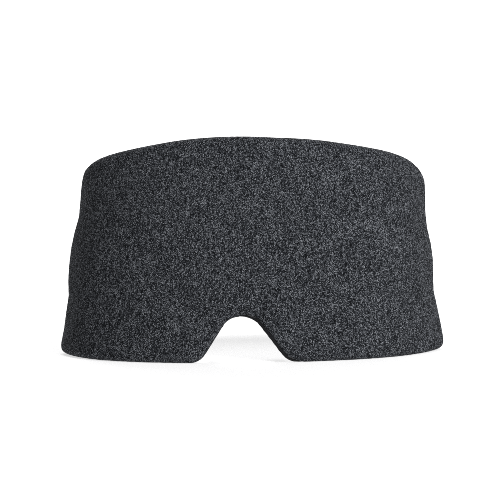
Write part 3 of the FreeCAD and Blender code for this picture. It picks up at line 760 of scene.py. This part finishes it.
def jersey(name, flat=True):
    """Fine black jersey: columns of small stitches, a soft sheen and a little lint. It follows the
    piece's own map, or the object where the piece has none."""
    cloth = Finish(name, Roughness=0.8, Sheen_Weight=0.35, Sheen_Roughness=0.35,
                   Sheen_Tint=(0.5, 0.5, 0.55, 1), Specular_IOR_Level=0.25)
    if flat:
        across, up, _ = cloth.flat.parts()
    else:
        across, _, up = cloth.place.parts()
    wale = across / JERSEY_WALE
    lean = abs(wale.fraction() - 0.5)
    course = (up / JERSEY_COURSE + lean * 1.2) * (2 * math.pi)
    height = (1.0 - lean * 2.0) * 0.5 + course.ripple() * 0.35
    lint = cloth.place.noise(1500.0, 2.0)
    blotch = cloth.place.noise(70.0, 2.0)
    shade = (lint * 0.7 + blotch * 0.3 - 0.35) * 2.2
    return cloth.set(Base_Color=shade.mix((0.010, 0.010, 0.0115, 1), (0.050, 0.050, 0.054, 1)),
                     Normal=(height + (lint - 0.5) * 0.8).raised(0.5, 0.00018))


black_jersey = jersey("black_jersey")
own(lining, "mask", black_jersey, "lining_cloth", "inner_lining")

# ---- The eye cups -------------------------------------------------------------------------------
# Each hollow is lined with a shallow bowl, moulded from thin fabric-faced foam. Its flange lies on
# the foam under the lining and the cushion ring.

CUP_THICKNESS = 0.0008


def eye_place(side, across, up, height):
    """The place at a height over the lining, straight out from the eye's own plane."""
    tangent = np.array([math.cos(EYE_ANGLE), math.sin(EYE_ANGLE)])
    level = EYE_LEVEL + up
    centre = wall_point(EYE_ALONG, EYE_LEVEL, PAD_THICKNESS)[:2]
    along = EYE_ALONG + across
    for _ in range(12):
        off = (wall_point(along, level, PAD_THICKNESS + height)[..., :2] - centre) @ tangent
        along = along + across - off
    points = wall_point(along, level, PAD_THICKNESS + height)
    points[..., 0] *= side
    return points


def oval(turn, margin):
    """Across and up from an eye's middle, at a margin outside its hollow's edge."""
    inward = np.clip(1.0 + margin / EYE_HALF_HEIGHT, 0.0, 1.0)
    beyond = np.maximum(margin, 0.0)
    across = np.cos(turn) * (EYE_HALF_WIDTH * inward + beyond)
    return across, np.sin(turn) * (EYE_HALF_HEIGHT * inward + beyond)


def spun(profile, steps):
    """A line of (margin, height) points turned all round. Returns the mesh, and each point's turn,
    margin and height, with the margin counted from a circle of the hollow's half height."""
    bm = bmesh.new()
    verts = [bm.verts.new((EYE_HALF_HEIGHT + m, 0.0, h)) for m, h in profile]
    edges = [bm.edges.new(pair) for pair in zip(verts, verts[1:])]
    bmesh.ops.spin(bm, geom=verts + edges, cent=(0, 0, 0), axis=(0, 0, 1), angle=2 * math.pi, steps=steps,
                   use_merge=True)
    bmesh.ops.remove_doubles(bm, verts=bm.verts, dist=1e-7)
    spots = np.array([v.co[:] for v in bm.verts])
    x, y, height = spots.T
    return bm, np.arctan2(y, x), np.hypot(x, y) - EYE_HALF_HEIGHT, height


def place_verts(bm, points):
    for vert, point in zip(bm.verts, points):
        vert.co = point


CUP_PROFILE = (
    (0.0022, 0.0), (0.0008, -0.00005), (-0.0002, -0.0006), (-0.0008, -0.0016), (-0.0013, -0.0028),
    (-0.0020, -0.0038), (-0.0031, -0.0044), (-0.0050, -0.0046), (-0.0085, -0.0046), (-0.0135, -0.0046),
)
cup_finish = Finish("moulded_cup", Roughness=0.85, Sheen_Weight=0.3, Sheen_Roughness=0.4)
nap = cup_finish.place.noise(1800.0, 2.0)
dimple = cup_finish.place.noise(220.0, 2.0)
moulded_cup = cup_finish.set(Base_Color=nap.mix((0.005, 0.005, 0.006, 1), (0.024, 0.024, 0.027, 1)),
                             Normal=(nap + dimple * 0.6).raised(0.45, 0.0002))
for side_name, side in SIDES.items():
    bm, turn, margin, height = spun(CUP_PROFILE, 72)
    place_verts(bm, eye_place(side, *oval(turn, margin), height))
    outwards(bm, REARWARDS)
    cup = mesh_from(f"{side_name}_cup_bowl", bm)
    thicken(cup, CUP_THICKNESS)
    own(cup, "mask", moulded_cup, "cup", f"{side_name}_eye_cup")

# ---- The eye rings ------------------------------------------------------------------------------
# A soft stuffed roll round each hollow keeps the mask off the lids. Each is a jersey tube filled
# with fibre, and is sewn down along its outer foot, which puckers it.

RING_WIDTH, RING_STITCHES, RING_PUCKER, RING_MIDDLE = 0.0085, 46, 0.0005, 0.00425
VOXEL, SWELL_CAP, SWELL_STEPS, SWELL_PRESSURE = 0.0013, 0.0009, 20, 4.0


def stuffed(thing, pinned):
    """Swells a soft piece with a cloth simulation, and applies the result. The points that pinned()
    picks, where the piece is sewn down, stay where they are."""
    remesh = thing.modifiers.new("remesh", "REMESH")
    remesh.mode, remesh.voxel_size = "VOXEL", VOXEL
    bake(thing)
    start = np.array([v.co[:] for v in thing.data.vertices])
    hold = thing.vertex_groups.new(name="sewn")
    hold.add([int(i) for i in np.flatnonzero(pinned(start))], 1.0, "REPLACE")
    cloth = thing.modifiers.new("swell", "CLOTH")
    cloth.settings.use_pressure = True
    cloth.settings.uniform_pressure_force = SWELL_PRESSURE
    cloth.settings.effector_weights.gravity = 0.0
    cloth.settings.vertex_group_mass = hold.name
    cloth.point_cache.frame_start, cloth.point_cache.frame_end = 1, SWELL_STEPS
    for step in range(1, SWELL_STEPS + 1):
        bpy.context.scene.frame_set(step)
    swollen = thing.evaluated_get(bpy.context.evaluated_depsgraph_get()).to_mesh()
    end = np.array([v.co[:] for v in swollen.vertices])
    thing.modifiers.clear()
    thing.vertex_groups.clear()
    bpy.context.scene.frame_set(1)
    move = end - start
    far = np.maximum(np.linalg.norm(move, axis=1, keepdims=True), 1e-9)
    thing.data.vertices.foreach_set("co", (start + move * np.minimum(1.0, SWELL_CAP / far)).ravel())
    soft = thing.modifiers.new("soften", "SUBSURF")
    soft.levels = soft.render_levels = 1
    bake(thing)


def bake(thing):
    """Applies a piece's modifiers to its mesh."""
    final = bpy.data.meshes.new_from_object(thing.evaluated_get(bpy.context.evaluated_depsgraph_get()))
    thing.modifiers.clear()
    thing.data = final
    final.shade_smooth()


turns = np.linspace(0, 2 * math.pi, 25)
half = RING_WIDTH / 2 - 0.0004
RING_PROFILE = [
    (RING_WIDTH / 2 - half * math.copysign(abs(math.cos(t)) ** 0.85, math.cos(t)),
     max(-0.0003, 0.0024 + 0.0030 * math.sin(t)) if math.sin(t) < 0 else 0.0024 + 0.0034 * math.sin(t) ** 0.9)
    for t in turns
]
ring_jersey = jersey("ring_jersey", flat=False)
for side_name, side in SIDES.items():
    bm, turn, margin, height = spun(RING_PROFILE, 120)
    foot = np.clip((margin - 0.0045) / 0.004, 0.0, 1.0) * np.clip(1 - height / 0.004, 0.0, 1.0)
    pull = foot * RING_PUCKER * (0.5 + 0.5 * np.cos(turn * RING_STITCHES))
    place_verts(bm, eye_place(side, *oval(turn, margin - pull), height))
    bmesh.ops.recalc_face_normals(bm, faces=bm.faces)
    cushion = mesh_from(f"{side_name}_cushion_ring", bm)
    floor_points = eye_place(side, *oval(np.linspace(0, 2 * math.pi, 240), RING_MIDDLE), np.zeros(240))

    def sewn(spots):
        """The points of the ring's foot, near the line under its middle."""
        near = ((spots[:, None, [0, 2]] - floor_points[None, :, [0, 2]]) ** 2).sum(2).argmin(1)
        return np.linalg.norm(spots - floor_points[near], axis=1) < 0.0012 + 0.0030 * (
            (spots[:, 1] - floor_points[near, 1]) < 0.0008)

    stuffed(cushion, sewn)
    own(cushion, "mask", ring_jersey, "lining_cloth", f"{side_name}_eye_ring")


def stitch_line(name, places, ahead, outward, body, length=0.0020, width=0.0005, rise=0.00028):
    """A row of thread stitches, each a small rounded bar along the row."""
    bm = bmesh.new()
    for place, forward, out in zip(places, ahead, outward):
        forward, out = Vector(forward).normalized(), Vector(out).normalized()
        side_way = out.cross(forward).normalized()
        out = forward.cross(side_way)
        turn = Matrix((forward * length / 2, side_way * width / 2, out * rise)).transposed().to_4x4()
        bmesh.ops.create_uvsphere(bm, u_segments=8, v_segments=5, radius=1.0,
                                  matrix=Matrix.Translation(Vector(place)) @ turn)
    bmesh.ops.recalc_face_normals(bm, faces=bm.faces)
    return own(mesh_from(name, bm), body, black_thread, "thread")


for side_name, side in SIDES.items():
    turn = np.linspace(0, 2 * math.pi, RING_STITCHES, endpoint=False)
    foot = eye_place(side, *oval(turn, RING_WIDTH - 0.0001), np.full(RING_STITCHES, 0.00025))
    ahead = np.roll(foot, -1, 0) - np.roll(foot, 1, 0)
    outward = eye_place(side, *oval(turn, RING_WIDTH), np.full(RING_STITCHES, 0.002)) - foot
    stitch_line(f"{side_name}_ring_stitches", foot, ahead, outward, "mask", length=0.0018)

# ---- The care label -----------------------------------------------------------------------------
# A short piece of pale satin tape, left blank, sewn to the lining low on the left wing by two rows
# of small stitches. Its free sides lift a little.

LABEL_ALONG, LABEL_LEVEL, LABEL_LENGTH, LABEL_HEIGHT = -0.0872, 0.0145, 0.0158, 0.0108
LABEL_THICKNESS, LABEL_STITCHES, SATIN_PITCH = 0.00022, 8, 0.00022

bm, column, row = laid_grid(33, 23)
flat = np.stack([(column / 32 - 0.5) * LABEL_LENGTH, (row / 22 - 0.5) * LABEL_HEIGHT], 1)
lift = 0.00030 + 0.0005 * (np.abs(flat[:, 0]) / (LABEL_LENGTH / 2)) ** 4 * (0.4 + 0.6 * (row / 22))
lift += 0.00008 * np.sin(flat[:, 0] / 0.0021) * np.cos(flat[:, 1] / 0.003)
where = flat + np.array([LABEL_ALONG, LABEL_LEVEL])
lay(bm, drape(wall_point(where[:, 0], where[:, 1], PAD_THICKNESS + lift), where), flat)
outwards(bm, RIGHTWARDS)
label = mesh_from("blank_label", bm)
thicken(label, LABEL_THICKNESS)
satin = Finish("satin_tape", Roughness=0.38, Sheen_Weight=0.2)
along, _, _ = satin.flat.parts()
weave = ((along / SATIN_PITCH) * (2 * math.pi)).ripple() * 0.5 + satin.flat.noise(1600.0) * 0.6
own(label, "mask", satin.set(Base_Color=weave.mix((0.62, 0.62, 0.60, 1), (0.78, 0.78, 0.76, 1)),
                             Normal=weave.raised(0.35, 0.00008)), "label_cloth", "care_label")
for edge_name, level in (("lower", -0.40), ("upper", 0.40)):
    spots = np.linspace(-0.44, 0.44, LABEL_STITCHES) * LABEL_LENGTH + LABEL_ALONG
    levels = np.full(LABEL_STITCHES, LABEL_LEVEL + level * LABEL_HEIGHT)
    on = wall_point(spots, levels, PAD_THICKNESS + 0.00062)
    stitch_line(f"label_{edge_name}_stitches", on, np.gradient(on, axis=0),
                wall_point(spots, levels, PAD_THICKNESS + 0.002) - on, "mask", length=0.0013, width=0.0004,
                rise=0.00018)

# ---- The nose flaps -----------------------------------------------------------------------------
# Two soft flaps stand out of the lining along the notch's flanks and close the gap beside the
# nose. Each is thin foam in jersey with a bound edge.

FLAP_LENGTH, FLAP_REACH, FLAP_THICKNESS, FLAP_CORNER = 0.0126, 0.0128, 0.0014, 0.0045
FLAP_BURIED, FLAP_ROOT = 0.0042, np.array([0.013404, -0.069114, 0.011350])
BINDING_RADIUS, BINDING_START = 0.00075, -0.003

flap_jersey = jersey("flap_jersey", flat=False)


def flap_curl(across, reach):
    """How far a flap curls out of its plane, towards its free edge and towards its sides."""
    return 0.0002 * across**2 - 0.0004 * np.clip(reach / FLAP_REACH, 0, 1) ** 2


for side_name, side in SIDES.items():
    down = np.array([side * math.cos(NOTCH_FLANK), 0.0, -math.sin(NOTCH_FLANK)])
    back = np.array([0.0, 1.0, 0.0])
    out = np.array([side * math.sin(NOTCH_FLANK), 0.0, math.cos(NOTCH_FLANK)])
    root = FLAP_ROOT * np.array([side, 1.0, 1.0]) + np.array([NOTCH_SHIFT, 0.0, 0.0]) + 0.0003 * out
    bm, column, row = laid_grid(31, 37)
    u, v = column / 30 * 2 - 1, row / 36
    reach = v * (FLAP_REACH + FLAP_BURIED) - FLAP_BURIED
    corner = np.clip((reach - (FLAP_REACH - FLAP_CORNER)) / FLAP_CORNER, 0.0, 1.0)
    half = FLAP_LENGTH / 2 - FLAP_CORNER * (1 - np.sqrt(np.maximum(1 - corner**2, 0.0)))
    swell = FLAP_THICKNESS / 2 * np.sqrt(np.maximum(1 - np.abs(u) ** 5, 0.0))
    swell = swell * np.sqrt(np.maximum(1 - corner**6, 0.0)) + 0.0001
    middle = root + np.outer(u * half, down) + np.outer(reach, back) - np.outer(flap_curl(u, reach), out)
    slab(bm, middle + np.outer(swell, out), middle - np.outer(swell, out))
    flap = mesh_from(f"{side_name}_flap", bm)
    soft = flap.modifiers.new("soften", "SUBSURF")
    soft.levels = soft.render_levels = 1
    bake(flap)
    own(flap, None, flap_jersey, "lining_cloth", f"{side_name}_nose_flap")
    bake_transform(flap)

    straight, turn = FLAP_REACH - FLAP_CORNER, np.linspace(0, math.pi / 2, 10)
    edge_u = np.concatenate([np.full(14, -1.0), -1 + (1 - np.cos(turn)) * FLAP_CORNER / (FLAP_LENGTH / 2)])
    edge_r = np.concatenate([np.linspace(BINDING_START, straight, 14), straight + np.sin(turn) * FLAP_CORNER])
    edge_u, edge_r = np.concatenate([edge_u, -edge_u[::-1]]), np.concatenate([edge_r, edge_r[::-1]])
    keep = np.concatenate([[True], np.hypot(np.diff(edge_u) * 0.006, np.diff(edge_r)) > 1e-5])
    edge_u, edge_r = edge_u[keep], edge_r[keep]
    line = root + np.outer(edge_u * FLAP_LENGTH / 2, down) + np.outer(edge_r, back)
    line = line - np.outer(flap_curl(edge_u, edge_r), out)
    cord = round_section(np.full(len(line), BINDING_RADIUS))
    binding = swept(f"{side_name}_flap_binding", line, np.tile(out, (len(line), 1)), cord)
    own(binding, None, black_jersey, "lining_cloth")
    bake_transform(binding)

# ---- The strap sleeves --------------------------------------------------------------------------
# A folded sleeve of the same heather knit is sewn into each wing's rear seam. The elastic band's
# end sits inside it, held by two rows of stitches, and its mouth is hemmed.

STRAP_X, STRAP_LEVEL = 0.0765, 0.050
SLEEVE_HALF, SLEEVE_ROOT_HALF, SLEEVE_ROOT, SLEEVE_MOUTH = 0.0016, 0.0011, -0.0190, -0.0022
SLEEVE_WIDTH, SLEEVE_WEDGE, SLEEVE_BEND = 0.0374, 0.0185, (-0.0183, -0.0143)
STITCH_ROWS, ROW_STITCHES, ROW_PITCH, ROW_STITCH = (-0.0133, -0.0034), 11, 0.0033, 0.0023


def flat_section(half_width, half_thick, sides=72, power=3.2):
    """A flattened tube's section, its width first, with rounded edges."""
    turn = np.linspace(0, 2 * math.pi, sides, endpoint=False)
    c, s = np.cos(turn), np.sin(turn)
    width = half_width * np.sign(c) * np.abs(c) ** (1 / power)
    return np.stack([width, half_thick * np.sign(s) * np.abs(s) ** (2 / power)], 1)


# The hem: past the mouth's edge the cloth turns in and runs back a little way inside.
HEM_RUN, HEM_IN = (0.00022, 0.0002, -0.0004, -0.0018), (0.0001, 0.00035, 0.0006, 0.0007, 0.0007)

for side_name, side in SIDES.items():
    y = np.concatenate([np.linspace(SLEEVE_ROOT, SLEEVE_MOUTH, 40), SLEEVE_MOUTH + np.array(HEM_RUN)])
    inner = np.array([0.0] * 39 + list(HEM_IN))
    nearness = np.minimum.reduce([np.abs(y - r) for r in STITCH_ROWS])
    pulled = 0.00022 * np.exp(-((nearness / 0.0009) ** 2)) * (inner == 0)
    grown = np.clip((y - SLEEVE_ROOT) / 0.004, 0, 1)
    thick = SLEEVE_ROOT_HALF + (SLEEVE_HALF - SLEEVE_ROOT_HALF) * grown - pulled - inner
    sections = np.stack([flat_section(SLEEVE_WIDTH / 2 - i * 0.6, t) for i, t in zip(inner, thick)])
    path = np.stack([np.full_like(y, side * STRAP_X), y, np.full_like(y, STRAP_LEVEL)], 1)
    sleeve = swept(f"{side_name}_sleeve_knit", path, np.tile([side, 0, 0], (len(y), 1)), sections, caps=False)
    spots = np.array([v.co[:] for v in sleeve.data.vertices])
    pull_in = (1 - np.clip((spots[:, 1] + SLEEVE_WEDGE) / 0.0085, 0, 1)) ** 1.6
    seam_radius = SIDE_RADIUS + (FLARE_LEVEL - spots[:, 2]) * LEAN - SEAM_DEPTH
    seam_x = SIDE_CENTRE.x + np.sqrt(seam_radius**2 - (SIDE_CENTRE.y - REAR_LINE) ** 2)
    spots[:, 0] += side * pull_in * (seam_x - STRAP_X)
    spots[:, 0] += side * 0.00012 * wave(spots[:, [1, 2]], 0.006, 4.0 + side)
    sleeve.data.vertices.foreach_set("co", spots.ravel())
    sleeve.data.update()
    own(sleeve, None, heather_knit, "heather_knit", f"{side_name}_strap_sleeve")
    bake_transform(sleeve)
    places, ahead, outward = [], [], []
    for face_side in (-1, 1):
        for row_y in STITCH_ROWS:
            for n in range(ROW_STITCHES):
                level = STRAP_LEVEL + (n - ROW_STITCHES // 2) * ROW_PITCH
                places.append((side * STRAP_X + face_side * (SLEEVE_HALF - 0.0001), row_y, level))
                ahead.append((0, 0, 1))
                outward.append((face_side, 0, 0))
    rows = stitch_line(f"{side_name}_sleeve_stitches", places, ahead, outward, f"{side_name}_strap",
                       length=ROW_STITCH)
    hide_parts(f"{side_name}_strap_stitching")

# ---- The elastic bands --------------------------------------------------------------------------
# Wide black woven elastic with fine ribs along it. Each band leaves its sleeve straight, then
# follows the back of the head; the left one runs outside the right one.

STRAP_WIDTH, BAND_HALF, BAND_START = 0.036, 0.0008, -0.0145
RIB_PITCH, RIB_HEIGHT, SELVEDGE = 0.0018, 0.00016, 0.0006
LOOP_CENTRE = np.array([0.00215, 0.0014])
BANDS = {"left": (0.07865, 180, 113, 90), "right": (0.07435, 0, 116, 140)}


def on_loop(radius, degrees, level=STRAP_LEVEL):
    """Points on the strap's round part, and the way out from it."""
    turn = np.radians(np.asarray(degrees, float))
    out = np.stack([np.cos(turn), np.sin(turn), np.zeros_like(turn)], -1)
    middle = np.append(LOOP_CENTRE, level)
    return middle + out * np.asarray(radius)[..., None], out


def ribbed_section(width, half):
    """A flat band's section with lengthwise ribs on both faces and rounded selvedges."""
    across = np.linspace(-0.5, 0.5, 81) * (width - 2 * SELVEDGE)
    rib = half - RIB_HEIGHT + RIB_HEIGHT * np.cos(across / RIB_PITCH * 2 * math.pi)
    edge = np.linspace(-0.4 * math.pi, 0.4 * math.pi, 5)
    right = np.stack([(width / 2 - SELVEDGE) + SELVEDGE * np.cos(edge), np.sin(edge) * (half - 0.0001)], 1)
    face = np.stack([across, rib], 1)
    return np.concatenate([right, face[::-1], right[::-1] * [-1, 1], face * [1, -1]])


WEFT_PITCH, WARP_PITCH = 0.00062, 0.00045
elastic = Finish("black_elastic", Roughness=0.72, Sheen_Weight=0.25, Specular_IOR_Level=0.35)
along, girth, _ = elastic.flat.parts()
weft = along / WEFT_PITCH * (2 * math.pi)
warp = girth / WARP_PITCH * (2 * math.pi) + (along / WEFT_PITCH).floor() * math.pi
height = weft.ripple() * 0.5 + warp.ripple() * 0.3
lint = elastic.place.noise(1300.0, 2.0)
shade = height * 0.35 + lint * 0.6 + 0.2
black_elastic = elastic.set(Base_Color=shade.mix((0.006, 0.006, 0.007, 1), (0.034, 0.034, 0.037, 1)),
                            Normal=(height + lint * 0.5).raised(0.6, 0.0002))
for side_name, (radius, first, last, steps) in BANDS.items():
    side = SIDES[side_name]
    y = np.linspace(BAND_START, LOOP_CENTRE[1], 12)[:-1]
    straight = np.stack([np.full_like(y, side * STRAP_X), y, np.full_like(y, STRAP_LEVEL)], 1)
    turns = np.linspace(first, last, steps)
    arc, arc_out = on_loop(np.full_like(turns, radius), turns)
    path = np.concatenate([straight, arc])
    outward = np.concatenate([np.tile([side, 0.0, 0.0], (len(y), 1)), arc_out])
    band = swept(f"{side_name}_band_weave", path, outward, ribbed_section(STRAP_WIDTH, BAND_HALF))
    own(band, f"{side_name}_strap", black_elastic, "elastic", f"{side_name}_elastic_band")

# ---- The loop pile strip ------------------------------------------------------------------------
# Velour loop tape on the right band's outer face. Its brushed nylon loops are what the hooks
# grip, and a row of stitches along each edge holds it down.

PILE_RADII, PILE_TURNS, PILE_WIDTH = (0.07515, 0.07635), (46, 116), 0.032
PILE_HEM, PILE_STITCHES = 0.0014, 30

turns = np.linspace(*PILE_TURNS, 180)
path, outward = on_loop(np.full_like(turns, PILE_RADII[0]), turns)
across = np.linspace(-0.5, 0.5, 66) * PILE_WIDTH
edge_fall = 1 - np.abs(across / (PILE_WIDTH / 2)) ** 14
top = 0.00030 + 0.00080 * edge_fall
base = np.stack([np.linspace(0.5, -0.5, 12) * PILE_WIDTH, np.full(12, -0.00002)], 1)
sections = []
for n, turn in enumerate(turns):
    fluff = np.array([noise.noise(Vector((a * 900, turn * 1.1, 3.0))) for a in across])
    tuft = np.array([noise.noise(Vector((a * 350, turn * 0.45, 8.0))) for a in across])
    ends = min(1.0, 0.35 + 0.65 * min(n, len(turns) - 1 - n) / 3)
    nap = (top + (0.00014 * fluff + 0.0001 * tuft) * edge_fall) * ends
    sections.append(np.concatenate([np.stack([across, nap], 1), base]))
pile = swept("loop_pile_velour", path, outward, np.array(sections))
pile_finish = Finish("brushed_pile", Roughness=0.9, Sheen_Weight=0.5, Sheen_Roughness=0.3)
curl = pile_finish.place.noise(2100.0, 3.0)
mat = pile_finish.place.noise(260.0, 2.0)
own(pile, "right_strap", pile_finish.set(
    Base_Color=(curl * 0.75 + mat * 0.25).mix((0.004, 0.004, 0.005, 1), (0.055, 0.055, 0.06, 1)),
    Normal=(curl + mat * 0.4).raised(0.8, 0.0005)), "loop_pile", "loop_pile_strip")
places, ahead, outs = [], [], []
for level in (STRAP_LEVEL - PILE_WIDTH / 2 + PILE_HEM, STRAP_LEVEL + PILE_WIDTH / 2 - PILE_HEM):
    turns = np.linspace(PILE_TURNS[0] + 1, PILE_TURNS[1] - 1, PILE_STITCHES)
    row, out = on_loop(np.full_like(turns, PILE_RADII[1] - 0.0001), turns, level)
    places += list(row)
    ahead += list(np.gradient(row, axis=0))
    outs += list(out)
stitch_line("loop_pile_stitches", places, ahead, outs, "right_strap", length=0.0021, rise=0.0002)

# ---- The closure tab ----------------------------------------------------------------------------
# Stiff woven tape at the end of the left band, folded over it and sewn. It carries the hook strip
# on its inside.

TAB_RADII, TAB_TURNS, TAB_WIDTH = (0.07785, 0.07925), (67.6, 117.0), 0.034
BAND_END, TWILL_PITCH, TWILL_LEAN, TAPE_RIB = BANDS["left"][2], 0.0008, 0.0011, 0.0006

turns = np.linspace(*TAB_TURNS, 110)
over = np.clip((turns - (BAND_END - 0.6)) / 1.2, 0.0, 1.0)
middle = np.mean(TAB_RADII) + over * (BANDS["left"][0] - np.mean(TAB_RADII))
path, outward = on_loop(middle, turns)
half = (TAB_RADII[1] - TAB_RADII[0]) / 2 + over * 0.00045
width = TAB_WIDTH / 2 + over * 0.0016
ends = np.clip(np.minimum(turns - TAB_TURNS[0], TAB_TURNS[1] - turns) / 0.9, 0.0, 1.0)
half = half * (0.45 + 0.55 * np.sqrt(1 - (1 - ends) ** 2))
sections = np.stack([flat_section(w, t, 64, 4.5) for w, t in zip(width, half)])
tab = swept("closure_tab_tape", path, outward, sections)

tape = Finish("woven_tape", Roughness=0.7, Sheen_Weight=0.2)
along, girth, _ = tape.flat.parts()
twill = (along / TWILL_PITCH + girth / TWILL_LEAN) * (2 * math.pi)
rib = girth / TAPE_RIB * (2 * math.pi)
height = twill.ripple() * 0.5 + rib.ripple() * 0.25
lint = tape.place.noise(1500.0, 2.0)
shade = height * 0.4 + lint * 0.7 + 0.15
woven_tape = tape.set(Base_Color=shade.mix((0.007, 0.007, 0.008, 1), (0.040, 0.040, 0.043, 1)),
                      Normal=(height + lint * 0.4).raised(0.6, 0.0002))
own(tab, None, woven_tape, "tab_cloth", "closure_tab")
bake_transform(tab)

STITCH_COUNT = 9
for row_name, body, degrees, radius in (
    ("near", "left_strap", BAND_END + 3.2, 0.07977), ("far", "hook_tab", 71.6, 0.07925),
    ("middle", "hook_tab", 109.0, 0.07925),
):
    levels = STRAP_LEVEL + (np.arange(STITCH_COUNT) - (STITCH_COUNT - 1) / 2) * 0.0031
    spot, out = on_loop(radius, degrees)
    places = [(spot[0], spot[1], level) for level in levels]
    row = stitch_line(f"tab_{row_name}_stitches", places, [(0, 0, 1)] * STITCH_COUNT,
                      [out] * STITCH_COUNT, body, length=ROW_STITCH)
    if row_name == "far":
        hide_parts("closure_tab_stitching")

# ---- The hook patch -----------------------------------------------------------------------------
# A moulded strip with rows of small bent hooks that face the pile. It is sewn inside the closure
# tab, and every other hook in a row points the other way.

HOOK_TURNS, HOOK_WIDTH, HOOK_BASE, HOOK_PITCH = (70.4, 110.2), 0.028, 0.07730, 0.0017
HOOK_MARGIN, HOOKS_ACROSS, HOOK_WIRE, HOOK_BEND, HOOK_ARC = 1.2, 15, 0.00017, 0.00030, math.radians(150)

turns = np.linspace(*HOOK_TURNS, 50)
path, outward = on_loop(np.full_like(turns, (HOOK_BASE + TAB_RADII[0]) / 2 + 0.00005), turns)
strip = flat_section(HOOK_WIDTH / 2, (TAB_RADII[0] - HOOK_BASE) / 2, 48, 6.0)
backing = swept("hook_backing", path, outward, strip)
hook_finish = Finish("moulded_hooks", Roughness=0.45)
flow = hook_finish.place.noise(500.0)
moulded_hooks = hook_finish.set(Base_Color=flow.mix((0.012, 0.012, 0.013, 1), (0.026, 0.026, 0.028, 1)),
                                Normal=flow.raised(0.15, 0.0001))
own(backing, "hook_tab", moulded_hooks, "hooks", "hook_patch")

hook_bm = bmesh.new()
stem = bmesh.ops.create_circle(hook_bm, segments=4, radius=HOOK_WIRE, cap_ends=True)["verts"]
bmesh.ops.spin(hook_bm, geom=stem + hook_bm.edges[:] + hook_bm.faces[:], cent=(HOOK_BEND, 0, 0),
               axis=(0, 1, 0), angle=HOOK_ARC, steps=4)
bmesh.ops.recalc_face_normals(hook_bm, faces=hook_bm.faces)
hook_mesh = bpy.data.meshes.new("one_hook")
hook_bm.to_mesh(hook_mesh)
hook_bm.free()
bm = bmesh.new()
rows = int(math.radians(HOOK_TURNS[1] - HOOK_TURNS[0]) * HOOK_BASE / HOOK_PITCH)
for n in range(rows):
    span = HOOK_TURNS[1] - HOOK_TURNS[0] - 2 * HOOK_MARGIN
    degrees = HOOK_TURNS[0] + HOOK_MARGIN + span * n / (rows - 1)
    spot, out = on_loop(HOOK_BASE, degrees)
    inward = -Vector(out)
    tangent = inward.cross(Vector((0, 0, 1)))
    for m in range(HOOKS_ACROSS):
        level = STRAP_LEVEL + (m - HOOKS_ACROSS // 2) * HOOK_PITCH + (n % 2 - 0.5) * HOOK_PITCH * 0.5
        facing = 1 if m % 2 else -1
        turn = Matrix((Vector((0, 0, facing)), tangent * facing, inward)).transposed().to_4x4()
        start = len(bm.verts)
        bm.from_mesh(hook_mesh)
        bm.verts.ensure_lookup_table()
        place = Matrix.Translation((spot[0], spot[1], level)) @ turn
        bmesh.ops.transform(bm, matrix=place, verts=bm.verts[start:])
bmesh.ops.recalc_face_normals(bm, faces=bm.faces)
hooks = mesh_from("hook_rows", bm)
bpy.data.meshes.remove(hook_mesh)
own(hooks, "hook_tab", moulded_hooks, "hooks")

# ---- The pull tip -------------------------------------------------------------------------------
# A soft matt grip moulded over the tab's free end, ribbed across so that fingers can peel it.

TIP_TURNS, TIP_MIDDLE, TIP_WIDTH, TIP_HALF, TIP_RIBS = (59.3, 68.2), 0.07855, 0.022, 0.0015, 6

turns = np.linspace(*TIP_TURNS, 90)
part = (turns - TIP_TURNS[0]) / (TIP_TURNS[1] - TIP_TURNS[0])
path, outward = on_loop(np.full_like(turns, TIP_MIDDLE), turns)
rounded = np.sqrt(1 - (1 - np.clip(np.minimum(part, 1 - part) / 0.10, 0, 1)) ** 2)
free_end = np.sqrt(1 - (1 - np.clip(part / 0.35, 0.0, 1)) ** 2)
rib = 0.00022 * (0.5 - 0.5 * np.cos(part * TIP_RIBS * 2 * math.pi)) * (part > 0.08) * (part < 0.92)
sections = np.stack([
    flat_section(TIP_WIDTH / 2 * (0.72 + 0.28 * f), max(0.00025, (TIP_HALF - 0.0003) * r) + b, 56, 5.0)
    for r, f, b in zip(rounded, free_end, rib)
])
tip = swept("pull_tip_grip", path, outward, sections)
grip = Finish("matt_grip", Roughness=0.62, Specular_IOR_Level=0.4)
grain = grip.place.noise(1600.0, 2.0)
patch = grip.place.noise(120.0, 2.0)
own(tip, "hook_tab", grip.set(Base_Color=patch.mix((0.016, 0.016, 0.018, 1), (0.028, 0.028, 0.031, 1)),
                              Normal=grain.raised(0.25, 0.0001)), "grip", "pull_tip")
